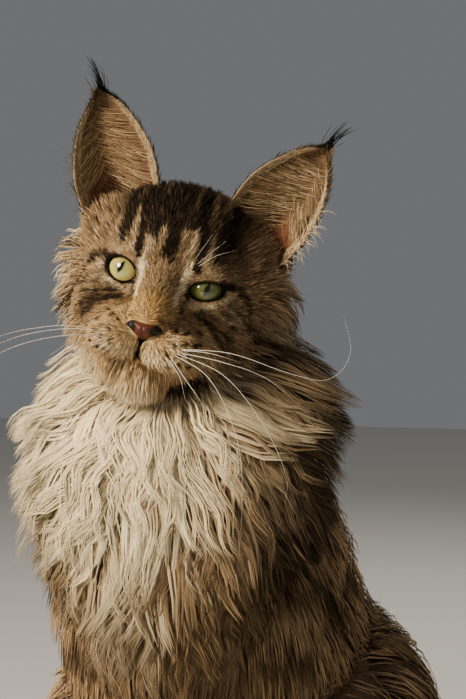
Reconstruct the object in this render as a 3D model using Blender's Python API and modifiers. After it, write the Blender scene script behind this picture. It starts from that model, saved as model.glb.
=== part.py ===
# A Maine Coon cat sitting upright with its head tilted, life size, as a still museum model.
# Metres, +Z up. The cat faces -Y and its left side is +X. The tail lies on the floor round its right side.
# Each node is a core of flesh and dense undercoat, with the long coat standing on it as tapered locks.
import math
import random

import bmesh
import bpy
import numpy as np
from mathutils import Euler, Matrix, Vector
from mathutils.bvhtree import BVHTree

# Driving dimensions of the stance
STANCE = (0.0531, -0.0476, 0.0)  # moves the cat so that the origin is under the middle of its box
HEAD_AT = (0.0, -0.082, 0.371)
HEAD_YAW = math.radians(8)
HEAD_PITCH = math.radians(2)
HEAD_TILT = math.radians(14.5)
GAP = 0.0003  # kept between touching nodes

# Head, in its own frame: the origin is on the eyes' level, -Y is forward
HEART = (0.0, -0.010, -0.006)  # every ray to the head's surface starts here
EYE_AT = (0.0200, -0.0225, 0.0)
EYE_RADIUS = 0.0105
CORNEA_BULGE = 0.0010
EYE_TURN_OUT = math.radians(13)
EYE_SLANT = math.radians(13)
EYE_HALF_WIDTH = 0.0086
EYE_OPEN = {"left": (0.0049, 0.0047), "right": (0.0062, 0.0060)}  # lid heights above and below the eye's middle
LID_RADIUS = 0.0012
NOSE_AT = (0.0, -0.0565, -0.0238)
NOSE_HALF = (0.0083, 0.0050, 0.0058)
NOSTRIL_RADIUS = 0.0013
# centre, half sizes and how softly each mass runs into those before it; one off the middle is made on both sides
HEAD_MASSES = (
    ((0.0, 0.013, 0.006), (0.0475, 0.0460, 0.0410), 0.0),
    ((0.0, -0.012, 0.017), (0.0320, 0.0250, 0.0240), 0.014),
    ((0.0200, -0.0210, 0.0005), (0.0150, 0.0100, 0.0125), 0.006),
    ((0.0190, -0.0215, 0.0125), (0.0140, 0.0095, 0.0080), 0.010),
    ((0.0290, -0.0020, -0.0190), (0.0240, 0.0260, 0.0250), 0.014),
    ((0.0, -0.0300, -0.0060), (0.0115, 0.0200, 0.0150), 0.010),
    ((0.0, -0.0450, -0.0190), (0.0098, 0.0145, 0.0100), 0.008),
    ((0.0118, -0.0440, -0.0325), (0.0140, 0.0155, 0.0110), 0.006),
    ((0.0, -0.0385, -0.0455), (0.0130, 0.0120, 0.0100), 0.005),
    ((0.0, -0.0140, -0.0350), (0.0320, 0.0260, 0.0200), 0.014),
)
# The mouth from under the nose to one corner, as places that are then laid on the head's surface
MOUTH = (
    (0.0, -0.058, -0.0310),
    (0.0, -0.057, -0.0385),
    (0.005, -0.055, -0.0415),
    (0.012, -0.049, -0.0425),
    (0.019, -0.038, -0.0415),
    (0.023, -0.028, -0.0390),
)
MOUTH_RADIUS = 0.0008
# The left ear in the head's frame: its two rims and the ridge of its back, each from the skull to the tip
EAR_INNER = ((0.0155, 0.002, 0.034), (0.0270, 0.000, 0.0610), (0.0450, 0.001, 0.0780), (0.0590, 0.002, 0.0835))
EAR_OUTER = ((0.0440, -0.002, 0.0060), (0.0600, -0.003, 0.0330), (0.0660, 0.000, 0.0600), (0.0610, 0.002, 0.0830))
EAR_BACK = ((0.0300, 0.032, 0.0180), (0.0430, 0.029, 0.0450), (0.0550, 0.016, 0.0690), (0.0600, 0.003, 0.0835))
EAR_THICK = 0.0020

# Lofts. Each station is x, y, z of the middle, then the half size across and the half size the other way
NECK = (
    (0.0, -0.062, 0.352, 0.040, 0.036),
    (0.0, -0.060, 0.322, 0.052, 0.046),
    (0.0, -0.064, 0.285, 0.059, 0.055),
    (0.0, -0.076, 0.245, 0.060, 0.050),
    (0.0, -0.082, 0.208, 0.048, 0.036),
    (0.0, -0.082, 0.186, 0.030, 0.022),
)
TORSO = (
    (0.0, -0.055, 0.262, 0.044, 0.040),
    (0.0, -0.028, 0.236, 0.064, 0.064),
    (0.0, 0.012, 0.195, 0.071, 0.075),
    (0.0, 0.050, 0.150, 0.075, 0.079),
    (0.0, 0.084, 0.112, 0.076, 0.078),
    (0.0, 0.112, 0.078, 0.066, 0.068),
    (0.0, 0.132, 0.052, 0.046, 0.048),
)
FORELEG = (
    (0.043, -0.057, 0.215, 0.028, 0.038),
    (0.042, -0.057, 0.185, 0.026, 0.034),
    (0.037, -0.056, 0.150, 0.021, 0.025),
    (0.032, -0.062, 0.105, 0.017, 0.019),
    (0.030, -0.069, 0.062, 0.0155, 0.0165),
    (0.030, -0.074, 0.034, 0.0155, 0.0165),
)
HAUNCH = (
    (0.050, 0.122, 0.128, 0.030, 0.036),
    (0.060, 0.100, 0.116, 0.038, 0.054),
    (0.068, 0.066, 0.098, 0.041, 0.064),
    (0.074, 0.026, 0.080, 0.037, 0.056),
    (0.077, -0.006, 0.066, 0.027, 0.038),
)
HIND_FOOT = (
    (0.074, 0.110, 0.020, 0.013, 0.017),
    (0.078, 0.066, 0.016, 0.0135, 0.0145),
    (0.083, 0.012, 0.015, 0.0155, 0.0145),
    (0.086, -0.022, 0.014, 0.0190, 0.0150),
)
TAIL = (
    (0.0, 0.140, 0.046, 0.020, 0.020),
    (-0.020, 0.178, 0.038, 0.025, 0.025),
    (-0.066, 0.203, 0.034, 0.027, 0.027),
    (-0.120, 0.195, 0.033, 0.028, 0.028),
    (-0.165, 0.152, 0.033, 0.028, 0.028),
    (-0.184, 0.092, 0.032, 0.028, 0.028),
    (-0.180, 0.034, 0.031, 0.026, 0.026),
    (-0.158, -0.018, 0.029, 0.022, 0.022),
    (-0.126, -0.052, 0.026, 0.012, 0.012),
)
TAIL_CUTS = (0.0, 0.30, 0.55, 0.78, 1.0)  # where its lengths begin and end, as shares of the path
FOREPAW = {"at": (0.030, -0.088, 0.0), "width": 0.044, "length": 0.060, "height": 0.032}
HINDPAW = {"at": (0.087, -0.041, 0.0), "width": 0.045, "length": 0.058, "height": 0.030}

# Which way the coat lies: a place on the left side, and the way the hair points there
LIE = (
    ((0.000, 0.000, 0.325), (0.0, 0.60, -0.80)),
    ((0.000, 0.050, 0.265), (0.0, 0.62, -0.78)),
    ((0.000, 0.120, 0.205), (0.0, 0.55, -0.83)),
    ((0.000, 0.180, 0.110), (0.0, 0.50, -0.87)),
    ((0.000, -0.115, 0.320), (0.0, -0.40, -0.92)),
    ((0.000, -0.140, 0.260), (0.0, -0.16, -0.99)),
    ((0.000, -0.120, 0.195), (0.0, 0.05, -1.00)),
    ((0.055, -0.105, 0.305), (0.78, -0.08, -0.62)),
    ((0.060, -0.095, 0.250), (0.42, -0.05, -0.91)),
    ((0.058, -0.050, 0.330), (0.72, 0.15, -0.68)),
    ((0.070, -0.030, 0.240), (0.12, 0.35, -0.93)),
    ((0.080, 0.030, 0.180), (0.05, 0.48, -0.88)),
    ((0.060, 0.090, 0.190), (0.20, 0.45, -0.87)),
    ((0.105, 0.060, 0.130), (0.14, 0.30, -0.94)),
    ((0.100, -0.010, 0.080), (0.10, 0.00, -1.00)),
    ((0.090, 0.130, 0.080), (0.20, 0.60, -0.78)),
    ((0.035, -0.070, 0.110), (0.0, 0.25, -0.97)),
    ((0.000, 0.010, 0.090), (0.0, 0.30, -0.95)),
)

# The locks of each part: length, width, thickness and how far the tips stand off the core
COAT = {
    "ruff": {"long": 0.062, "wide": 0.021, "thick": 0.0060, "lift": 0.020},
    "body": {"long": 0.058, "wide": 0.026, "thick": 0.0060, "lift": 0.014},
    "haunch": {"long": 0.050, "wide": 0.024, "thick": 0.0055, "lift": 0.014},
    "leg": {"long": 0.034, "wide": 0.013, "thick": 0.0040, "lift": 0.009},
    "tail": {"long": 0.050, "wide": 0.022, "thick": 0.0055, "lift": 0.018},
    "cheek": {"long": 0.040, "wide": 0.018, "thick": 0.0045, "lift": 0.013},
}
# Rows of locks on a loft: share along it, how many, and the first and last angle round it in degrees
RUFF_ROWS = (
    (0.10, 11, -70, 250),
    (0.22, 13, -80, 260),
    (0.35, 14, -80, 260),
    (0.48, 13, -60, 240),
    (0.61, 11, -30, 210),
    (0.74, 8, -10, 190),
    (0.87, 6, 10, 170),
)
BODY_ROWS = (
    (0.08, 6, 205, 335),
    (0.20, 9, 170, 370),
    (0.33, 12, 130, 410),
    (0.46, 12, 130, 410),
    (0.60, 11, 140, 400),
    (0.74, 8, 180, 360),
    (0.88, 7, 195, 345),
)
HAUNCH_ROWS = ((0.08, 5, -40, 80), (0.30, 6, -60, 90), (0.54, 6, -60, 90), (0.80, 5, -60, 70))
LEG_ROWS = ((0.18, 5, -90, 60), (0.36, 5, -100, 40), (0.54, 3, -120, -30), (0.72, 2, -110, -60))
TAIL_ROWS = 2  # rows of locks on each length of the tail
MOST = {"head": 1300, "ear": 440, "neck": 2300, "torso": 1750, "haunch": 580, "leg": 400, "foot": 400, "paw": 360, "tail": 370}

rng = random.Random(11)


def clear_scene():
    for thing in list(bpy.data.objects):
        bpy.data.objects.remove(thing, do_unlink=True)


def new_collection(name):
    made = bpy.data.collections.new(name)
    bpy.context.scene.collection.children.link(made)
    return made


def paint(name, colour, roughness):
    """A material for one kind of sub-part."""
    made = bpy.data.materials.new(name)
    made.use_nodes = True
    shader = made.node_tree.nodes["Principled BSDF"]
    shader.inputs["Base Color"].default_value = (*colour, 1.0)
    shader.inputs["Roughness"].default_value = roughness
    shader.inputs["Metallic"].default_value = 0.0
    return made


def unit(v):
    v = np.asarray(v, float)
    return v / np.maximum(np.linalg.norm(v, axis=-1, keepdims=True), 1e-12)


def through(stations, count):
    """Values at even steps on a smooth curve through the stations (Catmull-Rom)."""
    s = np.asarray(stations, float)
    s = np.vstack([2 * s[0] - s[1], s, 2 * s[-1] - s[-2]])
    at = np.linspace(0, len(s) - 3, count)
    i = np.minimum(at.astype(int), len(s) - 4)
    t = (at - i)[:, None]
    a, b, c, d = s[i], s[i + 1], s[i + 2], s[i + 3]
    return 0.5 * (2 * b + (c - a) * t + (2 * a - 5 * b + 4 * c - d) * t**2 + (3 * b - a - 3 * c + d) * t**3)


def new_object(name, points, faces, home):
    mesh = bpy.data.meshes.new(name)
    mesh.from_pydata([tuple(p) for p in points], [], faces)
    mesh.update()
    made = bpy.data.objects.new(name, mesh)
    home.objects.link(made)
    face_outwards(made)
    return made


def face_outwards(thing):
    shape = bmesh.new()
    shape.from_mesh(thing.data)
    bmesh.ops.recalc_face_normals(shape, faces=shape.faces)
    if shape.calc_volume(signed=True) < 0:
        bmesh.ops.reverse_faces(shape, faces=shape.faces)
    shape.to_mesh(thing.data)
    shape.free()


def skin_over(name, rings, first, last, home):
    """A closed surface over rings of points, with one more point closing each end."""
    count, around = rings.shape[:2]
    points = np.vstack([rings.reshape(-1, 3), first, last])
    faces = []
    for k in range(around):
        after = (k + 1) % around
        end = (count - 1) * around
        faces.append((count * around, after, k))
        faces.append((count * around + 1, end + k, end + after))
        for low in range(0, end, around):
            faces.append((low + k, low + after, low + around + after, low + around + k))
    return new_object(name, points, faces, home)


def rounded(run, outwards, shares):
    """Stations that round off one end of a loft, at these shares of the end's half size."""
    reach = unit(outwards) * run[3:].min()
    return [np.r_[run[:3] + reach * s, run[3:] * math.sqrt(1 - s * s)] for s in shares]


def loft(name, stations, count, around, home, reference=(1, 0, 0), span=(0, 1), round_ends=(True, True)):
    """Elliptic rings along a smooth path, in a frame that keeps the reference direction across."""
    fine = through(stations, 200)
    keep = np.linspace(span[0] * 199, span[1] * 199, count)
    run = np.stack([np.interp(keep, np.arange(200), fine[:, k]) for k in range(5)], axis=1)
    first_way, last_way = run[0, :3] - run[1, :3], run[-1, :3] - run[-2, :3]
    poles = [run[0, :3], run[-1, :3]]
    if round_ends[0]:
        poles[0] = run[0, :3] + unit(first_way) * run[0, 3:].min()
    if round_ends[1]:
        poles[1] = run[-1, :3] + unit(last_way) * run[-1, 3:].min()
    before = rounded(run[0], first_way, (0.9, 0.6)) if round_ends[0] else []
    after = rounded(run[-1], last_way, (0.6, 0.9)) if round_ends[1] else []
    run = np.vstack([*before, run, *after])
    along = unit(np.gradient(run[:, :3], axis=0))
    across = unit(np.asarray(reference, float) - (along @ np.asarray(reference, float))[:, None] * along)
    deep = np.cross(along, across)
    turn = np.linspace(0, 2 * math.pi, around, endpoint=False)[None, :, None]
    rings = (
        run[:, None, :3]
        + (across * run[:, 3:4])[:, None] * np.cos(turn)
        + (deep * run[:, 4:5])[:, None] * np.sin(turn)
    )
    return skin_over(name, rings, poles[0], poles[1], home)


def on_loft(stations, share, degrees, reference=(1, 0, 0)):
    """The point of a loft's surface at a share of its length and an angle round it."""
    run = through(stations, 200)
    along = unit(np.gradient(run[:, :3], axis=0))
    k = int(round(share * 199))
    across = unit(np.asarray(reference, float) - (along[k] @ np.asarray(reference, float)) * along[k])
    deep = np.cross(along[k], across)
    turn = math.radians(degrees)
    return Vector(run[k, :3] + across * run[k, 3] * math.cos(turn) + deep * run[k, 4] * math.sin(turn))


def ball(name, centre, half, around, rows, home, turn=Euler((0, 0, 0))):
    shape = bmesh.new()
    place = Matrix.Translation(centre) @ turn.to_matrix().to_4x4() @ Matrix.Diagonal((*half, 1))
    bmesh.ops.create_uvsphere(shape, u_segments=around, v_segments=rows, radius=1, matrix=place)
    mesh = bpy.data.meshes.new(name)
    shape.to_mesh(mesh)
    shape.free()
    made = bpy.data.objects.new(name, mesh)
    home.objects.link(made)
    return made


def biggest_piece(shape):
    """Keeps the largest closed surface of a bmesh, so that sealed hollows and loose scraps go."""
    left, pieces = set(shape.faces), []
    while left:
        front = [left.pop()]
        piece = set(front)
        while front:
            face = front.pop()
            near = {g for e in face.edges if len(e.link_faces) == 2 for g in e.link_faces if g in left}
            left -= near
            piece |= near
            front.extend(near)
        pieces.append(piece)
    best = max(pieces, key=len)
    loose = [f for f in shape.faces if f not in best]
    bmesh.ops.delete(shape, geom=loose, context="FACES")


def combine(thing, operation, helpers):
    """Joins the helper collection's meshes to the thing, or cuts them out of it, and removes them."""
    change = thing.modifiers.new("join", "BOOLEAN")
    change.operation = operation
    change.operand_type = "COLLECTION"
    change.collection = helpers
    change.solver = "MANIFOLD"
    bpy.context.view_layer.update()
    made = thing.evaluated_get(bpy.context.evaluated_depsgraph_get())
    shape = bmesh.new()
    shape.from_mesh(made.to_mesh())
    made.to_mesh_clear()
    bmesh.ops.triangulate(shape, faces=shape.faces)
    biggest_piece(shape)
    thing.modifiers.clear()
    shape.to_mesh(thing.data)
    shape.free()
    for helper in list(helpers.objects):
        bpy.data.objects.remove(helper, do_unlink=True)


def grown(thing, home, gap):
    """A copy of the thing that is larger all round by the gap, for cutting its neighbours."""
    shape = bmesh.new()
    shape.from_mesh(thing.data)
    shape.normal_update()
    moved = [v.co + v.normal * gap * 1.15 * min(v.calc_shell_factor(), 2.5) for v in shape.verts]
    for vert, place in zip(shape.verts, moved):
        vert.co = place
    mesh = bpy.data.meshes.new("grown")
    shape.to_mesh(mesh)
    shape.free()
    home.objects.link(bpy.data.objects.new("grown", mesh))


def clear_of(thing, others, helpers, gap=GAP):
    """Cuts the thing so that it keeps the gap to nodes that are already finished."""
    near = [o for o in others if boxes_meet(thing, o)]
    for other in near:
        grown(other, helpers, gap)
        grown(other, helpers, 0)
    if near:
        combine(thing, "DIFFERENCE", helpers)


def box_of(thing):
    points = np.array([v.co for v in thing.data.vertices])
    return points.min(axis=0), points.max(axis=0)


def boxes_meet(one, other):
    (a, b), (c, d) = box_of(one), box_of(other)
    return bool((a - GAP < d).all() and (c - GAP < b).all())


def flat_at_floor(thing, helpers):
    shape = bmesh.new()
    bmesh.ops.create_cube(shape, size=1, matrix=Matrix.Translation((0, 0, -0.1)) @ Matrix.Diagonal((1, 1, 0.2, 1)))
    mesh = bpy.data.meshes.new("floor")
    shape.to_mesh(mesh)
    shape.free()
    helpers.objects.link(bpy.data.objects.new("floor", mesh))
    combine(thing, "DIFFERENCE", helpers)


def surface_of(things):
    """One search tree over several meshes."""
    points, faces = [], []
    for thing in things:
        faces += [tuple(len(points) + v for v in f.vertices) for f in thing.data.polygons]
        points += [v.co.copy() for v in thing.data.vertices]
    return BVHTree.FromPolygons(points, faces)


def flip_side(thing):
    """Turns a left piece into a right one."""
    thing.data.transform(Matrix.Diagonal((-1, 1, 1, 1)))
    thing.data.flip_normals()


def coat_lie(place):
    """The way the hair points at a place, weighed from the anchors by nearness."""
    left = Vector((abs(place.x), place.y, place.z))
    total = Vector((0, 0, 0))
    for anchor, way in LIE:
        total += Vector(way) / ((left - Vector(anchor)).length_squared ** 2 + 1e-8)
    total.normalize()
    return Vector((total.x if place.x >= 0 else -total.x, total.y, total.z))


def standing_off(ground, point, least):
    """The point, moved so that it stands off the ground by the least height and not by much more."""
    under, normal = ground.find_nearest(point)[:2]
    height = (point - under).dot(normal)
    return point + normal * (min(max(height, least), least * 1.5) - height), normal


def buried(place, others):
    """Whether a place is inside any of the other cores, or almost."""
    for other in others:
        under, normal = other.find_nearest(place)[:2]
        if (place - under).dot(normal) < 0.0015:
            return True
    return False


def lock(home, ground, start, lie, size, rings=4, scale=1.0):
    """A flat, tapered lock: its root is sunk, it leaves the ground slowly, and it ends in a point."""
    long = size["long"] * scale * rng.uniform(0.88, 1.12)
    wide = size["wide"] * rng.uniform(0.88, 1.12)
    lift = size["lift"] * scale * rng.uniform(0.85, 1.15)
    thick = size["thick"]
    place, normal = ground.find_nearest(start)[:2]
    way = lie(place)
    way = (way - normal * way.dot(normal)).normalized()
    way = (way + normal.cross(way) * rng.uniform(-0.2, 0.2)).normalized()
    root = place - normal * (thick * 0.9) + way * (long * 0.04)
    middle, middle_normal = standing_off(ground, place + way * long * 0.5, lift * 0.72)
    tip, tip_normal = standing_off(ground, place + way * long, lift)
    bend = middle * 2 - (root + tip) * 0.5
    points, faces = [], []
    for k in range(rings):
        share = k / rings
        here = root.lerp(bend, share).lerp(bend.lerp(tip, share), share)
        along = (root.lerp(bend, share) - bend.lerp(tip, share)).normalized() * -1
        outwards = normal.lerp(tip_normal, share)
        across = along.cross(outwards).normalized()
        upwards = across.cross(along)
        half = wide * 0.5 * (0.74 + 0.9 * share) * (1 - share) ** 0.5
        deep = thick * (1 - 0.5 * share)
        for offset in (across * half, upwards * deep * 0.6, -across * half, -upwards * deep * 0.4):
            corner = here + offset
            corner.z = max(corner.z, -thick)
            points.append(corner)
    points.append(tip)
    faces.append((0, 1, 2, 3))
    for k in range(rings - 1):
        for side in range(4):
            after = (side + 1) % 4
            faces.append((4 * k + side, 4 * k + 4 + side, 4 * k + 4 + after, 4 * k + after))
    for side in range(4):
        faces.append((4 * rings - 4 + side, 4 * rings, 4 * rings - 4 + (side + 1) % 4))
    return new_object("lock", points, faces, home)


def simpler(thing, most):
    """Thins the mesh of a joined coat to about this many triangles, before its neighbours are cut to it."""
    count = len(thing.data.polygons)
    if count <= most:
        return
    change = thing.modifiers.new("simpler", "DECIMATE")
    change.ratio = most / count
    change.use_collapse_triangulate = True
    bpy.context.view_layer.update()
    mesh = bpy.data.meshes.new_from_object(thing.evaluated_get(bpy.context.evaluated_depsgraph_get()))
    thing.modifiers.clear()
    thing.data = mesh


def rows_of_locks(home, ground, stations, rows, size, lie, others=(), scales=None, rings=4):
    """Rows of locks on a loft, each row set between the locks of the one before, and none inside the others."""
    for number, (share, count, first, last) in enumerate(rows):
        step = (last - first) / max(count - 1, 1)
        for k in range(count):
            degrees = first + step * (k + 0.5 * (number % 2)) + rng.uniform(-0.2, 0.2) * step
            start = on_loft(stations, min(share + rng.uniform(-0.015, 0.015), 1), degrees)
            if buried(start, others) or buried(Vector((-start.x, start.y, start.z)), others):
                continue
            scale = scales(start) if scales else 1.0
            lock(home, ground, start, lie, size, rings=rings, scale=scale)


def soft_union(a, b, soft):
    h = np.clip(0.5 + 0.5 * (b - a) / soft, 0, 1)
    return b * (1 - h) + a * h - soft * h * (1 - h)


def head_form(p):
    """How far points are outside the head's blended masses; negative inside."""
    total = None
    for centre, half, soft in HEAD_MASSES:
        for side in (1, -1) if centre[0] else (1,):
            q = (p - np.array(centre) * (side, 1, 1)) / half
            size = np.linalg.norm(q, axis=-1)
            d = size * (size - 1) / np.maximum(np.linalg.norm(q / half, axis=-1), 1e-9)
            total = d if total is None else soft_union(total, d, soft)
    return total


def head_surface(ways):
    """Where rays from the head's heart leave it."""
    ways = unit(ways)
    reach = np.linspace(0.012, 0.085, 74)
    depth = head_form(np.array(HEART) + ways[..., None, :] * reach[:, None])
    inside = depth < 0
    last = inside.shape[-1] - 1 - np.argmax(inside[..., ::-1], axis=-1)
    near = np.take_along_axis(depth, last[..., None], -1)[..., 0]
    far = np.take_along_axis(depth, last[..., None] + 1, -1)[..., 0]
    out = reach[last] + (reach[1] - reach[0]) * near / (near - far)
    return np.array(HEART) + ways * out[..., None]


def head_frame():
    turn = Euler((HEAD_PITCH, 0, HEAD_YAW)).to_matrix() @ Euler((0, HEAD_TILT, 0)).to_matrix()
    return Matrix.Translation(HEAD_AT) @ turn.to_4x4()


def eye_frame(side):
    """The eye's own frame in the head's: -Y out of the pupil, X towards the outer corner's side."""
    place = Matrix.Translation((EYE_AT[0] * side, EYE_AT[1], EYE_AT[2]))
    return place @ Euler((0, -EYE_SLANT * side, 0)).to_matrix().to_4x4() @ Euler((0, 0, EYE_TURN_OUT * side)).to_matrix().to_4x4()


def eye_outline(label, count):
    """The rim between the lids, round the eye's ball: a pointed oval, wider below than above."""
    above, below = EYE_OPEN[label]
    turn = np.linspace(0, 2 * math.pi, count, endpoint=False)
    x = EYE_HALF_WIDTH * np.cos(turn)
    z = np.where(np.sin(turn) > 0, above, below) * np.sin(turn) * (1 - 0.12 * np.abs(np.cos(turn)))
    return x, z


def make_eye(label, side, home):
    """A ball with the clear cornea's bulge in front."""
    eye = ball(f"eye_{label}", (0, 0, 0), (EYE_RADIUS,) * 3, 14, 9, home, Euler((math.pi / 2, 0, 0)))
    for vert in eye.data.vertices:
        ahead = max(-vert.co.y / EYE_RADIUS, 0)
        vert.co *= 1 + CORNEA_BULGE / EYE_RADIUS * max((ahead - 0.6) / 0.4, 0) ** 0.8
    eye.data.transform(head_frame() @ eye_frame(side))
    return eye


def make_nose(home, helpers):
    """The bare nose: wide above, narrow below, with a nostril at each side that opens outwards."""
    nose = ball("nose", (0, 0, 0), NOSE_HALF, 14, 9, home, Euler((0, 0, 0)))
    for vert in nose.data.vertices:
        up = vert.co.z / NOSE_HALF[2]
        vert.co.x *= 0.72 + 0.34 * up
        vert.co.y += 0.0012 * (1 - up)
    for side in (1, -1):
        way = [Vector((0.0030, -0.0062, 0.0)), Vector((0.0048, -0.0036, -0.0002)), Vector((0.0078, -0.0012, 0.0012))]
        stations = [(p.x * side, p.y, p.z, NOSTRIL_RADIUS, NOSTRIL_RADIUS * 0.8) for p in way]
        loft("nostril", stations, 3, 6, helpers, reference=(0, 0, 1))
    combine(nose, "DIFFERENCE", helpers)
    nose.data.transform(head_frame() @ Matrix.Translation(NOSE_AT))
    return nose


def lids(helpers, label, side):
    """The raised rim of the lids, as a closed ring on the eye's ball."""
    count, around = 18, 5
    x, z = eye_outline(label, count)
    ball_reach = EYE_RADIUS + LID_RADIUS * 0.55
    y = -np.sqrt(np.maximum(ball_reach**2 - x**2 - z**2, 1e-6))
    middle = np.stack([x, y, z], axis=1)
    outwards = unit(middle)
    along = unit(np.roll(middle, -1, axis=0) - np.roll(middle, 1, axis=0))
    across = np.cross(along, outwards)
    turn = np.linspace(0, 2 * math.pi, around, endpoint=False)[None, :, None]
    ring = middle[:, None] + LID_RADIUS * (across[:, None] * np.cos(turn) * 1.2 + outwards[:, None] * np.sin(turn))
    faces = []
    for i in range(count):
        for k in range(around):
            a, b = around * i, around * ((i + 1) % count)
            faces.append((a + k, a + (k + 1) % around, b + (k + 1) % around, b + k))
    rim = new_object("lids", ring.reshape(-1, 3), faces, helpers)
    rim.data.transform(head_frame() @ eye_frame(side))


def eye_opening(helpers, label, side):
    """What is cut from the head in front of the eye: the lids' outline, wider outwards."""
    x, z = eye_outline(label, 16)
    rings = np.stack([np.stack([x * s, np.full(16, y), z * s], axis=1) for s, y in ((0.94, -0.002), (1.12, -0.030))])
    hole = skin_over("opening", rings, rings[0].mean(axis=0), rings[1].mean(axis=0), helpers)
    hole.data.transform(head_frame() @ eye_frame(side))


def mouth_line(helpers):
    """The groove of the mouth, laid on the head's surface."""
    for side in (1, -1):
        places = np.array([(x * side, y, z) for x, y, z in MOUTH])
        laid = head_surface(places - HEART)
        stations = [(*p, MOUTH_RADIUS, MOUTH_RADIUS * 1.4) for p in laid]
        groove = loft("mouth", stations, 10, 5, helpers, reference=(0, 0.2, 1))
        groove.data.transform(head_frame())


def make_head(home, rays=36, rows=24):
    """The head as rings round its forward axis, closer together on the face."""
    tilt = math.pi * (np.linspace(0, 1, rows + 2)[1:-1]) ** 1.22
    turn = np.linspace(0, 2 * math.pi, rays, endpoint=False)
    ways = np.stack(
        [
            np.sin(tilt)[:, None] * np.cos(turn),
            -np.cos(tilt)[:, None] * np.ones(rays),
            np.sin(tilt)[:, None] * np.sin(turn),
        ],
        axis=-1,
    )
    ends = head_surface(np.array([(0.0, -1.0, 0.0), (0.0, 1.0, 0.0)]))
    head = skin_over("head", head_surface(ways), ends[0], ends[1], home)
    head.data.transform(head_frame())
    return head


def cheek_locks(helpers, ground):
    """The side whiskers of the cheeks and jaw, which sweep back and down to the ruff."""
    frame = head_frame()
    down = Vector((0, 0.25, -1))
    for side in (1, -1):
        for row, (z, count) in enumerate(((-0.004, 2), (-0.022, 3), (-0.038, 3))):
            for k in range(count):
                share = (k + 0.5 * (row % 2)) / count
                place = Vector((side * (0.052 - 0.009 * row / 2), 0.004 + 0.030 * share - 0.014 * row / 2, z))
                out = frame.to_3x3() @ Vector((side * 0.5, 0.35, -0.1))
                lock(helpers, ground, frame @ place, lambda p, out=out: (down + out).normalized(), COAT["cheek"], rings=3)


def ear_surface(rows, across, side):
    """Points over the ear's cup: each row bends from the inner rim round the back to the outer rim."""
    inner, back, outer = (through(rim, rows) for rim in (EAR_INNER, EAR_BACK, EAR_OUTER))
    t = np.linspace(-1, 1, across)
    round_back = np.cos(t * math.pi / 2) ** 0.8
    middle = (inner[:, None] * (1 - t[:, None]) + outer[:, None] * (1 + t[:, None])) / 2
    cup = middle + (back - (inner + outer) / 2)[:, None] * round_back[:, None]
    return cup * (side, 1, 1)


def make_ear(label, side, home):
    """A cup of even thickness: its rims stand forward and its back bulges."""
    rows, across = 8, 9
    points = ear_surface(rows, across, side).reshape(-1, 3)
    faces = [
        (i * across + k, i * across + k + 1, (i + 1) * across + k + 1, (i + 1) * across + k)
        for i in range(rows - 1)
        for k in range(across - 1)
    ]
    ear = new_object(f"ear_{label}", points, faces, home)
    shell = ear.modifiers.new("shell", "SOLIDIFY")
    shell.thickness = EAR_THICK
    shell.offset = 0
    bpy.context.view_layer.update()
    solid = bpy.data.meshes.new_from_object(ear.evaluated_get(bpy.context.evaluated_depsgraph_get()))
    ear.modifiers.clear()
    ear.data = solid
    face_outwards(ear)
    ear.data.transform(head_frame())
    return ear


def straight_lock(helpers, start, end, bow, wide, thick, facing, rings=3):
    """A lock along a bowed line between two places, flat towards the facing direction."""
    points, faces = [], []
    spine = [start.lerp(end, k / rings) + bow * math.sin(math.pi * k / rings) for k in range(rings + 1)]
    for k in range(rings):
        along = (spine[k + 1] - spine[max(k - 1, 0)]).normalized()
        across = along.cross(facing).normalized()
        share = k / rings
        half = wide * 0.5 * (0.8 + 0.6 * share) * (1 - share) ** 0.6
        for offset in (across * half, facing * thick * 0.5, -across * half, -facing * thick * 0.5):
            points.append(spine[k] + offset)
    points.append(spine[rings])
    faces.append((0, 1, 2, 3))
    for k in range(rings - 1):
        for side in range(4):
            after = (side + 1) % 4
            faces.append((4 * k + side, 4 * k + 4 + side, 4 * k + 4 + after, 4 * k + after))
    for side in range(4):
        faces.append((4 * rings - 4 + side, 4 * rings, 4 * rings - 4 + (side + 1) % 4))
    return new_object("lock", points, faces, helpers)


def ear_locks(helpers, side):
    """Furnishings that fan across the cup from its inner rim, and the dark tuft on the tip."""
    frame = head_frame()
    inner, outer, back = (through(rim, 40) * (side, 1, 1) for rim in (EAR_INNER, EAR_OUTER, EAR_BACK))
    for k in range(7):
        share = 0.12 + 0.62 * k / 6
        i = int(share * 39)
        start = Vector(inner[i] * 0.9 + back[i] * 0.1) + Vector((-0.0012 * side, 0.0004, 0))
        end = Vector(inner[min(i + 5, 39)] * 0.30 + outer[min(i + 5, 39)] * 0.70) + Vector((0, -0.001, 0.002))
        bow = Vector((0, 0.004, 0.003))
        piece = straight_lock(helpers, start, end, bow, 0.0055, 0.0016, Vector((0, -1, 0)))
        piece.data.transform(frame)
    tip = Vector(inner[39]) * 0.5 + Vector(outer[39]) * 0.5
    for k in range(5):
        spread = (k - 2) / 2
        start = tip + Vector((side * (0.0030 * spread - 0.0015), 0.0015, -0.0055))
        end = tip + Vector((side * (0.009 + 0.006 * spread), 0.004, 0.016 - 0.005 * abs(spread)))
        piece = straight_lock(helpers, start, end, Vector((side * -0.001, 0, 0)), 0.0042, 0.0024, Vector((0, -1, 0)))
        piece.data.transform(frame)


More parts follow.
